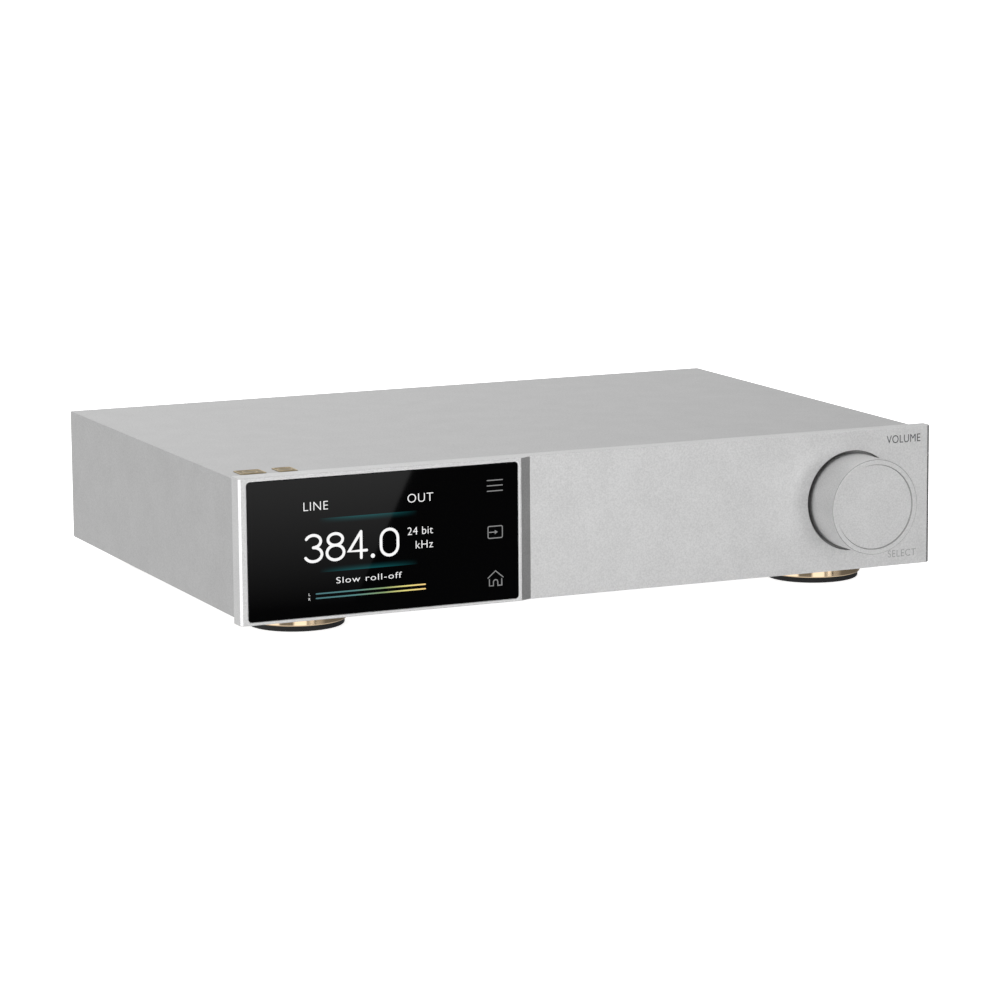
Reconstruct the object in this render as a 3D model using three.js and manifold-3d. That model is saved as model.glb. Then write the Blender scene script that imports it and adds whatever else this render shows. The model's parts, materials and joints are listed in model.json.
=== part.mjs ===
// A desktop digital-to-analogue converter: a flat aluminium case on four round feet, with a
// glass-fronted display block at the left of its front panel, a volume knob at the right,
// and the sockets, mains inlet and power rocker at the rear.
//
// Millimetres. +X is the listener's right, +Y runs from the front to the rear, +Z is up.
// The origin lies on the surface the feet stand on, midway across the front panel and midway
// between the face of the knob and the ends of the rear jacks.

import * as THREE from "three";
import { mergeVertices, toCreasedNormals } from "three/addons/utils/BufferGeometryUtils.js";
import Module from "manifold-3d";

const GAP = 0.3; // clearance between pieces that nest in each other

// Overall depth, from the knob's face to the ends of the rear jacks
const DEPTH = 204;
const KNOB_REACH = 16; // knob's face to the panel
const JACK_REACH = 10.7; // rear panel to the ends of the jacks
const FACE_Y = KNOB_REACH - DEPTH / 2; // plane of the front panel's right part
const REAR_Y = DEPTH / 2 - JACK_REACH; // plane of the rear panel

// Front panel, measured from its bottom edge and from the plane of its right part
const PANEL_W = 257;
const PANEL_H = 48.7;
const PANEL_T = 4.85;
const PANEL_EDGE = 0.3; // chamfer along the top and bottom
const PANEL_END_EDGE = 0.7; // wider chamfer at the two ends
const BLOCK_W = 99.95;
const BLOCK_PROUD = 1.75;
const BLOCK_SLOPE = 4; // width of the slanted strip at the block's right

// Display glass and what lies behind it
const GLASS_X = [-125.8, -29.6];
const GLASS_Z = [1, 47.25];
const GLASS_CORNER = 1.2;
const GLASS_T = 1.1;
const WINDOW_MARGIN = 4; // ledge the glass is bonded to

// Volume knob and its encoder, turned about the Y axis
const KNOB_X = 97.9;
const KNOB_R = 16.5;
const KNOB_RIM = 2.1;
const KNOB_DISH = 0.8;
const RECESS_R = 17.4;
const RECESS_DEPTH = 2.5;
const SHAFT_R = 3;
const PRESS_TRAVEL = 0.5;

// Case
const CASE_INSET = 1.3; // how far the case lies inside the front panel's outline
const WALL = 2;
const CASE_CORNER = 0.5;
const RAIL = 7; // side of the square screw rails in the cover's corners

// Feet
const FOOT_X = 97.6;
const FOOT_Y = [-57, 63];
const FOOT_R = 17;
const PAD_R = 16.2;
const PAD_SHOWS = 1.9; // how much of the rubber stands below the metal
const FOOT_H = 8; // floor to the underside of the case

// Circuit boards
const BOARD_T = 1.6;
const BOARD_Z = 16; // underside of the boards that lie on the base plate

const PANEL_Z = FOOT_H - CASE_INSET;
const KNOB_Z = PANEL_Z + PANEL_H / 2;
const CASE_X = PANEL_W / 2 - CASE_INSET;
const CASE_TOP = PANEL_Z + PANEL_H - CASE_INSET;
const CASE_FRONT = FACE_Y + PANEL_T + 0.2;
const RAIL_X = CASE_X - WALL - RAIL / 2;
const RAIL_Z = [FOOT_H + WALL + GAP + RAIL / 2, CASE_TOP - WALL - RAIL / 2];
const BASE_SCREW_Y = [-62, 76];

const wasm = await Module();
wasm.setup();

// ---------------------------------------------------------------- geometry helpers

function toSolid(geometry) {
  const bare = geometry.clone();
  bare.deleteAttribute("normal");
  bare.deleteAttribute("uv");
  const merged = mergeVertices(bare, 1e-4);
  return new wasm.Manifold(
    new wasm.Mesh({
      numProp: 3,
      vertProperties: merged.attributes.position.array,
      triVerts: new Uint32Array(merged.index.array),
    }),
  );
}

function toGeometry(solid) {
  const { vertProperties, triVerts } = solid.getMesh();
  return new THREE.BufferGeometry()
    .setAttribute("position", new THREE.BufferAttribute(vertProperties, 3))
    .setIndex(new THREE.BufferAttribute(triVerts, 1));
}

const join = (first, ...more) =>
  toGeometry(more.reduce((sum, g) => sum.add(toSolid(g)), toSolid(first)));

const cut = (first, ...tools) =>
  toGeometry(tools.reduce((rest, g) => rest.subtract(toSolid(g)), toSolid(first)));

// A box from its lowest to its highest corner, given axis by axis.
function box([x0, x1], [y0, y1], [z0, z1]) {
  return new THREE.BoxGeometry(x1 - x0, y1 - y0, z1 - z0)
    .translate((x0 + x1) / 2, (y0 + y1) / 2, (z0 + z1) / 2);
}

// A body turned about the Y axis from [radius, y] points.
function turned(points, sides = 24) {
  return new THREE.LatheGeometry(points.map(([r, y]) => new THREE.Vector2(r, y)), sides);
}

// A round bar along Y.
function bar(radius, [y0, y1], sides = 16) {
  return turned([[0, y0], [radius, y0], [radius, y1], [0, y1]], sides);
}

// The same two, standing along Z.
const turnedUpright = (points, sides) => turned(points, sides).rotateX(Math.PI / 2);
const post = (radius, span, sides) => bar(radius, span, sides).rotateX(Math.PI / 2);

function outline(points) {
  return new THREE.Shape(points.map(([a, b]) => new THREE.Vector2(a, b)));
}

// A rectangle with rounded corners, as a closed outline.
function roundedOutline([a0, a1], [b0, b1], radius) {
  const shape = new THREE.Shape();
  shape.absarc(a1 - radius, b0 + radius, radius, -Math.PI / 2, 0);
  shape.absarc(a1 - radius, b1 - radius, radius, 0, Math.PI / 2);
  shape.absarc(a0 + radius, b1 - radius, radius, Math.PI / 2, Math.PI);
  shape.absarc(a0 + radius, b0 + radius, radius, Math.PI, 1.5 * Math.PI);
  shape.closePath();
  return shape;
}

// Extrusions of an outline: one drawn in XY runs along Z, one in XZ along Y, one in YZ along X.
function alongZ(shape, [z0, z1], arcSteps = 3) {
  return new THREE.ExtrudeGeometry(shape, {
    depth: z1 - z0, bevelEnabled: false, curveSegments: arcSteps,
  }).translate(0, 0, z0);
}

const alongY = (shape, [y0, y1], arcSteps) =>
  alongZ(shape, [-y1, -y0], arcSteps).rotateX(Math.PI / 2);

const alongX = (shape, span, arcSteps) =>
  alongZ(shape, span, arcSteps).applyMatrix4(
    new THREE.Matrix4().set(0, 0, 1, 0, 1, 0, 0, 0, 0, 1, 0, 0, 0, 0, 0, 1),
  );

// A flat cable: a strip of even thickness that follows a curve in its own plane.
function ribbonOutline(curve, thickness, steps) {
  const over = [];
  const under = [];
  for (let i = 0; i <= steps; i += 1) {
    const at = curve.getPoint(i / steps);
    const along = curve.getTangent(i / steps);
    const side = new THREE.Vector2(-along.y, along.x).multiplyScalar(thickness / 2);
    over.push(at.clone().add(side));
    under.unshift(at.clone().sub(side));
  }
  return new THREE.Shape([...over, ...under]);
}

// ---------------------------------------------------------------- materials

const finish = (color, roughness, metalness) =>
  new THREE.MeshStandardMaterial({ color, roughness, metalness });

const ALUMINIUM = finish(0xc9cacb, 0.42, 1);
const BRIGHT_STEEL = finish(0xb8bbbe, 0.3, 1);
const BLACK_STEEL = finish(0x1b1b1d, 0.45, 0.8);
const NICKEL = finish(0xc4c2bc, 0.22, 1);
const GOLD = finish(0xd9bd92, 0.16, 1);
const FOIL = finish(0xb79a63, 0.3, 1);
const BRASS = finish(0xb9964f, 0.35, 1);
const RUBBER = finish(0x111112, 0.85, 0);
const BLACK_GLASS = finish(0x050506, 0.04, 0);
const BLACK_PLASTIC = finish(0x151517, 0.5, 0);
const CIRCUIT_BOARD = finish(0x14351f, 0.55, 0);
const WINDING = finish(0xcfa93c, 0.5, 0.1);
const CABLE = finish(0x9a9a98, 0.6, 0);

// ---------------------------------------------------------------- scene graph

const dac = new THREE.Group();

function group(parent, x, y, z) {
  const made = new THREE.Group();
  made.position.set(x, y, z);
  parent.add(made);
  return made;
}

function add(parent, name, geometry, material) {
  const mesh = new THREE.Mesh(toCreasedNormals(geometry, 0.6), material);
  mesh.name = name;
  parent.add(mesh);
  return mesh;
}

// ---------------------------------------------------------------- front panel and display

// The panel's plan: a plate whose left part steps forward as the display block.
function frontPanel() {
  const end = PANEL_W / 2;
  const blockEnd = BLOCK_W - end;
  const plan = outline([
    [-end, PANEL_T],
    [-end, PANEL_END_EDGE - BLOCK_PROUD],
    [PANEL_END_EDGE - end, -BLOCK_PROUD],
    [blockEnd, -BLOCK_PROUD],
    [blockEnd + BLOCK_SLOPE, 0],
    [end - PANEL_END_EDGE, 0],
    [end, PANEL_END_EDGE],
    [end, PANEL_T],
  ]);
  const slab = new THREE.ExtrudeGeometry(plan, {
    depth: PANEL_H - 2 * PANEL_EDGE,
    bevelThickness: PANEL_EDGE,
    bevelSize: PANEL_EDGE,
    bevelOffset: -PANEL_EDGE,
    bevelSegments: 1,
  }).translate(0, 0, PANEL_EDGE);
  const front = -BLOCK_PROUD - 1;
  const pocket = alongY(
    roundedOutline(GLASS_X, GLASS_Z, GLASS_CORNER),
    [front, GLASS_T + 0.1 - BLOCK_PROUD],
    5,
  );
  const knobRecess = bar(RECESS_R, [-1, RECESS_DEPTH], 40);
  const bushingHole = bar(SHAFT_R + 0.8, [0, PANEL_T + 1]);
  return cut(
    slab,
    pocket,
    box(inside(GLASS_X, WINDOW_MARGIN), [front, PANEL_T + 1], inside(GLASS_Z, WINDOW_MARGIN)),
    ...[knobRecess, bushingHole].map((tool) => tool.translate(KNOB_X, 0, PANEL_H / 2)),
  );
}

function inside([low, high], margin) {
  return [low + margin, high - margin];
}

function addFront() {
  const front = group(dac, 0, FACE_Y, PANEL_Z);
  add(front, "front_panel", frontPanel(), ALUMINIUM);
  const glass = roundedOutline(inside(GLASS_X, 0.1), inside(GLASS_Z, 0.1), GLASS_CORNER - 0.1);
  const glassFront = 0.03 - BLOCK_PROUD;
  add(front, "display_glass", alongY(glass, [glassFront, glassFront + GLASS_T - 0.05], 5), BLACK_GLASS);
  const moduleMargin = WINDOW_MARGIN + GAP;
  add(
    front,
    "display_module",
    box(inside(GLASS_X, moduleMargin), [-0.45, PANEL_T - 0.3], inside(GLASS_Z, moduleMargin)),
    BLACK_PLASTIC,
  );
  const driver = box([-116, -96], [PANEL_T + 1.8, PANEL_T + 4.4], [16, 36]);
  add(
    front,
    "display_board",
    join(box([-122, -14], [PANEL_T + 0.35, PANEL_T + 0.35 + BOARD_T], [5, 44]), driver),
    CIRCUIT_BOARD,
  );
}

// ---------------------------------------------------------------- volume control

function knobProfile() {
  const face = -KNOB_REACH;
  const back = RECESS_DEPTH - PRESS_TRAVEL - 0.6;
  return [
    [0, face + KNOB_DISH],
    [KNOB_R - KNOB_RIM - 0.4, face + KNOB_DISH],
    [KNOB_R - KNOB_RIM, face],
    [KNOB_R - 0.4, face],
    [KNOB_R, face + 0.4],
    [KNOB_R, back],
    [9, back],
    [9, -3.5],
    [5.2, -3.5],
    [5.2, -11.5],
    [0, -11.5],
  ];
}

function ring(inner, outer, [y0, y1], sides) {
  return turned([[inner, y0], [outer, y0], [outer, y1], [inner, y1], [inner, y0]], sides);
}

function addVolumeControl() {
  const control = group(dac, KNOB_X, FACE_Y, KNOB_Z);
  add(control, "volume_knob", turned(knobProfile(), 40), ALUMINIUM);
  add(control, "knob_hub", ring(SHAFT_R + 0.15, 4.95, [-11.2, -2.5], 16), BLACK_PLASTIC);
  add(control, "encoder_shaft", bar(SHAFT_R, [-10.9, 8]), BRASS);
  add(control, "encoder_plunger", bar(2.6, [8.1, 9.4], 12), BLACK_PLASTIC);

  const bodyFront = PANEL_T + 0.15;
  const body = join(
    box([-6.2, 6.2], [bodyFront, bodyFront + 6.5], [-6.6, 6.6]),
    bar(3.5, [-1, bodyFront + 1]),
  );
  add(control, "encoder_body", cut(body, bar(SHAFT_R + 0.1, [-2, 10.3])), BRIGHT_STEEL);
  const nut = cut(bar(5.8, [0.2, 2.3], 6), bar(3.7, [0, 3]));
  add(control, "encoder_nut", nut, NICKEL);
  const boardFront = bodyFront + 6.8;
  add(
    control,
    "encoder_board",
    box([-16, 16], [boardFront, boardFront + BOARD_T], [-12, 12]),
    CIRCUIT_BOARD,
  );
}

// ---------------------------------------------------------------- case

// The cover is an upturned channel with a square screw rail in each of its four corners.
function topCover() {
  const low = FOOT_H;
  const section = new THREE.Shape();
  section.moveTo(CASE_X, low);
  section.absarc(CASE_X - CASE_CORNER, CASE_TOP - CASE_CORNER, CASE_CORNER, 0, Math.PI / 2);
  section.absarc(CASE_CORNER - CASE_X, CASE_TOP - CASE_CORNER, CASE_CORNER, Math.PI / 2, Math.PI);
  section.lineTo(-CASE_X, low);
  section.lineTo(WALL - CASE_X, low);
  section.lineTo(WALL - CASE_X, CASE_TOP - WALL);
  section.lineTo(CASE_X - WALL, CASE_TOP - WALL);
  section.lineTo(CASE_X - WALL, low);
  section.closePath();

  const railEnd = REAR_Y - WALL - GAP;
  const rails = [];
  const holes = [];
  for (const side of [-1, 1]) {
    const wallSide = side * (CASE_X - WALL / 2);
    const roomSide = side * (RAIL_X - RAIL / 2);
    const across = [Math.min(wallSide, roomSide), Math.max(wallSide, roomSide)];
    for (const z of RAIL_Z) {
      const top = z > KNOB_Z ? CASE_TOP - WALL / 2 : z + RAIL / 2;
      rails.push(box(across, [CASE_FRONT + 10, railEnd], [z - RAIL / 2, top]));
      holes.push(bar(1.5, [railEnd - 12, railEnd + 1], 12).translate(side * RAIL_X, 0, z));
    }
    for (const y of BASE_SCREW_Y) {
      holes.push(post(1.5, [RAIL_Z[0] - RAIL, RAIL_Z[0] + 2], 12).translate(side * RAIL_X, y, 0));
    }
  }
  const channel = alongY(section, [CASE_FRONT, REAR_Y], 4);
  return cut(join(channel, ...rails), ...holes);
}

function slotHole(x, y, length, width) {
  const hole = new THREE.Path();
  const half = (length - width) / 2;
  hole.absarc(x + half, y, width / 2, -Math.PI / 2, Math.PI / 2);
  hole.absarc(x - half, y, width / 2, Math.PI / 2, 1.5 * Math.PI);
  hole.closePath();
  return hole;
}

const MAIN_BOARD = { x: [-40, 112], y: [-50, 74] };
const POWER_BOARD = { x: [-115, -45], y: [-72, -20] };
const TRANSFORMER = { x: -84, y: 20, r: 32, bore: 11, z: [11.5, 41] };

function boardCorners({ x, y }, margin) {
  return inside(x, margin).flatMap((cx) => inside(y, margin).map((cy) => [cx, cy]));
}

function basePlate() {
  const reach = CASE_X - WALL - GAP;
  const plan = outline([
    [-reach, CASE_FRONT],
    [reach, CASE_FRONT],
    [reach, REAR_Y - WALL - GAP],
    [-reach, REAR_Y - WALL - GAP],
  ]);
  for (const x of [-20, 40]) {
    for (let row = 0; row < 5; row += 1) {
      plan.holes.push(slotHole(x, 8 * row - 20, 36, 2.6));
    }
  }
  const plate = alongZ(plan, [FOOT_H, FOOT_H + WALL], 2);
  const standoffs = [...boardCorners(MAIN_BOARD, 5), ...boardCorners(POWER_BOARD, 5)]
    .map(([x, y]) => post(3, [FOOT_H + WALL / 2, BOARD_Z - 0.2], 6).translate(x, y, 0));
  const holes = [];
  for (const side of [-1, 1]) {
    for (const y of FOOT_Y) {
      holes.push(post(2.2, [FOOT_H - 1, FOOT_H + WALL + 1], 12).translate(side * FOOT_X, y, 0));
    }
    for (const y of BASE_SCREW_Y) {
      const sink = [[0, -1], [4, -1], [1.7, 1.5], [1.7, 4], [0, 4]];
      holes.push(turnedUpright(sink, 12).translate(side * RAIL_X, y, FOOT_H));
    }
  }
  return cut(join(plate, ...standoffs), ...holes);
}

function addCase() {
  add(dac, "top_cover", topCover(), ALUMINIUM);
  add(dac, "base_plate", basePlate(), ALUMINIUM);

  const sunkScrew = turnedUpright(
    [[0, 0.9], [1, 0.9], [1, 0.1], [2.8, 0.1], [1.3, 1.7], [1.3, 7], [0, 7]],
    12,
  );
  BASE_SCREW_Y.forEach((y, row) => {
    [-1, 1].forEach((side, column) => {
      const name = `base_screw_${row * 2 + column + 1}`;
      add(dac, name, sunkScrew.clone(), BLACK_STEEL).position.set(side * RAIL_X, y, FOOT_H);
    });
  });

  // A pair of small foil badges just behind the front panel.
  for (const [name, x, width] of [["badge_left", -117.6, 9.2], ["badge_right", -105.4, 6.8]]) {
    const foil = box([-width / 2, width / 2], [-4, 4], [0.03, 0.2]);
    add(dac, name, foil, FOIL).position.set(x, FACE_Y + 17, CASE_TOP);
  }
}

// ---------------------------------------------------------------- feet

function addFeet() {
  const metal = turnedUpright([
    [4.2, 3.1],
    [PAD_R + 0.2, 3.1],
    [PAD_R + 0.2, PAD_SHOWS],
    [FOOT_R - 0.4, PAD_SHOWS],
    [FOOT_R, PAD_SHOWS + 0.4],
    [FOOT_R, FOOT_H - 0.1],
    [2.2, FOOT_H - 0.1],
    [2.2, 5.6],
    [4.2, 5.6],
    [4.2, 3.1],
  ]);
  const pad = turnedUpright([[0, 0], [PAD_R - 0.4, 0], [PAD_R, 0.4], [PAD_R, 2.9], [0, 2.9]]);
  const screw = cut(
    turnedUpright([[0, 3.3], [3.8, 3.3], [3.8, 5.4], [2, 5.4], [2, 12.5], [0, 12.5]], 16),
    post(1.5, [3, 4.6], 6),
  );
  for (const [row, y] of [["front", FOOT_Y[0]], ["rear", FOOT_Y[1]]]) {
    for (const [side, x] of [["left", -FOOT_X], ["right", FOOT_X]]) {
      const foot = group(dac, x, y, 0);
      add(foot, `foot_ring_${row}_${side}`, metal.clone(), GOLD);
      add(foot, `foot_pad_${row}_${side}`, pad.clone(), RUBBER);
      add(foot, `foot_screw_${row}_${side}`, screw.clone(), BLACK_STEEL);
    }
  }
}

// ---------------------------------------------------------------- rear panel and sockets

// Each socket is drawn with the rear panel's outer face at y = 0 and +Y pointing out of it.
const UPPER = 40;
const MIDDLE = 31;
const LOWER = 22;
const PLACES = {
  balanced_out_right: [104, MIDDLE],
  balanced_out_left: [76, MIDDLE],
  phono_out_right: [52, LOWER],
  phono_out_left: [52, UPPER],
  coaxial_in: [34, UPPER],
  optical_in: [34, LOWER],
  balanced_digital_in: [9, MIDDLE],
  link_port: [-16, UPPER],
  computer_port: [-16, LOWER],
  antenna_socket: [-36, UPPER],
  trigger_jack: [-36, LOWER],
  mains_inlet: [-88, MIDDLE],
};

const BEHIND = -14; // how far the panel's cutting tools reach
const ROUND_SHELL_R = 12;
const MOUTH_R = 9.7;

const centred = (half) => [-half, half];

function phonoJack() {
  return turned([
    [0, -12],
    [5.2, -12],
    [5.2, 0.2],
    [6.6, 0.2],
    [6.6, 2],
    [4.15, 2],
    [4.15, JACK_REACH - 0.3],
    [3.85, JACK_REACH],
    [3.4, JACK_REACH],
    [3.4, JACK_REACH - 0.8],
    [1.7, JACK_REACH - 0.8],
    [1.7, 2],
    [0, 2],
  ], 16);
}

function roundShell() {
  const flange = alongY(roundedOutline(centred(12.5), centred(14.5), 3), [0.2, 2], 2);
  return join(flange, bar(ROUND_SHELL_R, [-15, 1], 24));
}

// Three pins stand in a deep round mouth.
function balancedOutput() {
  const pins = [[-4.1, 2], [4.1, 2], [0, -4.6]].map(([x, z]) =>
    bar(1.2, [-14, -2], 8).translate(x, 0, z));
  return join(cut(roundShell(), bar(MOUTH_R, [-13, 3], 24)), ...pins);
}

// An insert with three holes nearly fills the mouth, and a latch sits above it.
function balancedInput() {
  const groove = ring(7.9, MOUTH_R, [-11, 3], 24);
  const face = bar(8.2, [0.8, 3], 24);
  const holes = [[-4.1, 2], [4.1, 2], [0, -4.6]].map(([x, z]) =>
    bar(1.35, [-10, 3], 8).translate(x, 0, z));
  return cut(roundShell(), groove, face, ...holes, box(centred(4), [-6, 3], [10.2, 13.4]));
}

function opticalSocket() {
  const body = join(
    box(centred(4.9), [-12, 1], centred(5.2)),
    box(centred(5.7), [0.2, 1.4], centred(6)),
  );
  return cut(body, box(centred(3.5), [-9.5, 2], [-3.7, 4]));
}

// The shutter hangs inside the socket's mouth from a hinge along its top edge.
const FLAP_HINGE_Z = 3.2;

function opticalFlap() {
  const leaf = box(centred(3.15), centred(0.35), [-3.4, FLAP_HINGE_Z]);
  const knuckle = bar(0.5, centred(3.15), 10).rotateZ(Math.PI / 2).translate(0, 0, FLAP_HINGE_Z);
  return join(leaf, knuckle).translate(0, 0.2, 0);
}

function computerPort() {
  const shell = cut(
    box(centred(6.2), [-14, 0.9], centred(5.7)),
    alongY(outline([[-4.3, -4], [4.3, -4], [4.3, 2.4], [2.8, 4], [-2.8, 4], [-4.3, 2.4]]), [-10, 2]),
  );
  return join(shell, box(centred(2.8), [-11, -1], centred(1.6)));
}

function linkPort() {
  const mouth = outline([[-5.6, -2.3], [5.6, -2.3], [7, -0.8], [7, 2.3], [-7, 2.3], [-7, -0.8]]);
  const shell = cut(box(centred(7.7), [-11, 0.8], centred(3)), alongY(mouth, [-8.5, 2]));
  return join(shell, box(centred(5.4), [-9.5, -1], [0.1, 1.1]));
}

function triggerJack() {
  return turned([
    [0, -13],
    [4.6, -13],
    [4.6, -WALL - GAP],
    [3, -WALL - GAP],
    [3, 0.2],
    [4.1, 0.2],
    [4.1, 1.8],
    [1.8, 1.8],
    [1.8, -11],
    [0, -11],
  ], 16);
}

function antennaSocket() {
  const barrel = turned([
    [0, -8],
    [2.6, -8],
    [2.6, 1],
    [3.1, 1],
    [3.1, 9],
    [2.8, 9.3],
    [2.3, 9.3],
    [2.3, 8.6],
    [0.6, 8.6],
    [0.6, 5],
    [0, 5],
  ], 16);
  return join(barrel, bar(4.7, [0.2, 2.2], 6));
}

// Mains module: the three-blade inlet, a fuse drawer and the rocker's well, side by side.
const INLET_X = 14.5;
const DRAWER_X = -4.3;
const ROCKER_X = -18.6;
const WELL_HALF = 10.7;

function mainsInlet() {
  const body = join(
    alongY(roundedOutline(centred(29), centred(15), 3), [0.2, 2.6], 3),
    box(centred(27), [-22, 1], centred(13.2)),
  );
  const mouth = outline([[-12.1, -8], [12.1, -8], [12.1, 3.4], [7.3, 8.2], [-7.3, 8.2], [-12.1, 3.4]]);
  const blades = [[-7, -2], [7, -2], [0, 4]].map(([x, z]) =>
    box([INLET_X + x - 1, INLET_X + x + 1], [-19, -2], [z - 2, z + 2]));
  const drawerWell = box([DRAWER_X - 3.5, DRAWER_X + 3.5], [-19, 3], centred(WELL_HALF - 0.3));
  const rockerWell = box([ROCKER_X - 6.5, ROCKER_X + 6.5], [-12, 3], centred(WELL_HALF));
  const hollow = cut(body, alongY(mouth, [-17, 3]).translate(INLET_X, 0, 0), drawerWell, rockerWell);
  return join(hollow, ...blades);
}

function fuseDrawer() {
  const tray = box(centred(3.2), [-18, 2.2], centred(WELL_HALF - 0.6));
  const pull = box(centred(2.2), [2, 3.4], centred(4));
  const carrier = box(centred(2.4), [-16, -5], [-3, 12]);
  return cut(join(tray, pull), carrier);
}

const ROCKER_TILT = THREE.MathUtils.degToRad(8);

function powerRocker() {
  const side = outline([
    [4.2, 9.8],
    [-1, 9.4],
    [-5, 3.5],
    [-5, -3.5],
    [-1, -9.4],
    [4.2, -9.8],
    [2.8, 0],
  ]);
  return alongX(side, centred(6.2));
}

function rearPanel() {
  const reach = CASE_X - WALL - GAP;
  const plate = box(centred(reach), [REAR_Y - WALL, REAR_Y], [FOOT_H + 0.1, CASE_TOP - WALL - GAP]);
  const through = [BEHIND, 3];
  const round = (r) => bar(r, through, 20);
  const square = (halfX, halfZ) => box(centred(halfX), through, centred(halfZ));
  const holes = {
    balanced_out_right: round(ROUND_SHELL_R + GAP),
    balanced_out_left: round(ROUND_SHELL_R + GAP),
    phono_out_right: round(5.2 + GAP),
    phono_out_left: round(5.2 + GAP),
    coaxial_in: round(5.2 + GAP),
    optical_in: square(4.9 + GAP, 5.2 + GAP),
    balanced_digital_in: join(round(ROUND_SHELL_R + GAP), box(centred(4.3), through, [9, 13.7])),
    link_port: square(7.7 + GAP, 3 + GAP),
    computer_port: square(6.2 + GAP, 5.7 + GAP),
    antenna_socket: round(2.6 + GAP),
    trigger_jack: round(3 + GAP),
    mains_inlet: square(27 + GAP, 13.2 + GAP),
  };
  const sockets = Object.entries(PLACES).map(([name, [x, z]]) =>
    holes[name].translate(x, REAR_Y, z));
  const screws = [-RAIL_X, RAIL_X].flatMap((x) =>
    RAIL_Z.map((z) => bar(1.7, through, 12).translate(x, REAR_Y, z)));
  return cut(plate, ...sockets, ...screws);
}

function addRear() {
  add(dac, "rear_panel", rearPanel(), ALUMINIUM);
  const makers = [
    ["balanced_out_right", balancedOutput, NICKEL],
    ["balanced_out_left", balancedOutput, NICKEL],
    ["phono_out_right", phonoJack, GOLD],
    ["phono_out_left", phonoJack, GOLD],
    ["coaxial_in", phonoJack, GOLD],
    ["optical_in", opticalSocket, BLACK_PLASTIC],
    ["balanced_digital_in", balancedInput, NICKEL],
    ["link_port", linkPort, BRIGHT_STEEL],
    ["computer_port", computerPort, BRIGHT_STEEL],
    ["antenna_socket", antennaSocket, GOLD],
    ["trigger_jack", triggerJack, BLACK_PLASTIC],
    ["mains_inlet", mainsInlet, BLACK_PLASTIC],
  ];
  const places = {};
  for (const [name, make, material] of makers) {
    const [x, z] = PLACES[name];
    places[name] = group(dac, x, REAR_Y, z);
    add(places[name], name, make(), material);
  }
  const tab = box(centred(3.7), [-3.6, 2.8], [10.5, 13.1]);
  add(places.balanced_digital_in, "balanced_latch", tab, BRIGHT_STEEL);
  add(places.optical_in, "optical_flap", opticalFlap(), BLACK_PLASTIC);
  add(places.mains_inlet, "fuse_drawer", fuseDrawer(), BLACK_PLASTIC).position.x = DRAWER_X;
  const rocker = add(places.mains_inlet, "power_rocker", powerRocker(), BLACK_PLASTIC);
  rocker.position.x = ROCKER_X;
  rocker.rotation.x = ROCKER_TILT;

  const screw = cut(
    turned([[0, -10], [1.25, -10], [1.25, 0.1], [2.8, 0.1], [2.8, 1.1], [2.2, 1.7], [0, 1.7]], 16),
    bar(1.2, [0.8, 2], 6),
  );
  RAIL_Z.forEach((z, row) => {
    [-1, 1].forEach((side, column) => {
      const name = `rear_screw_${row * 2 + column + 1}`;
      add(dac, name, screw.clone(), BLACK_STEEL).position.set(side * RAIL_X, REAR_Y, z);
    });
  });
}

// ---------------------------------------------------------------- power supply and boards

function capacitors(places, radius, height) {
  const top = BOARD_Z + BOARD_T;
  return places.map(([x, y]) => post(radius, [top - 1, top + height], 10).translate(x, y, 0));
}

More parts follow.
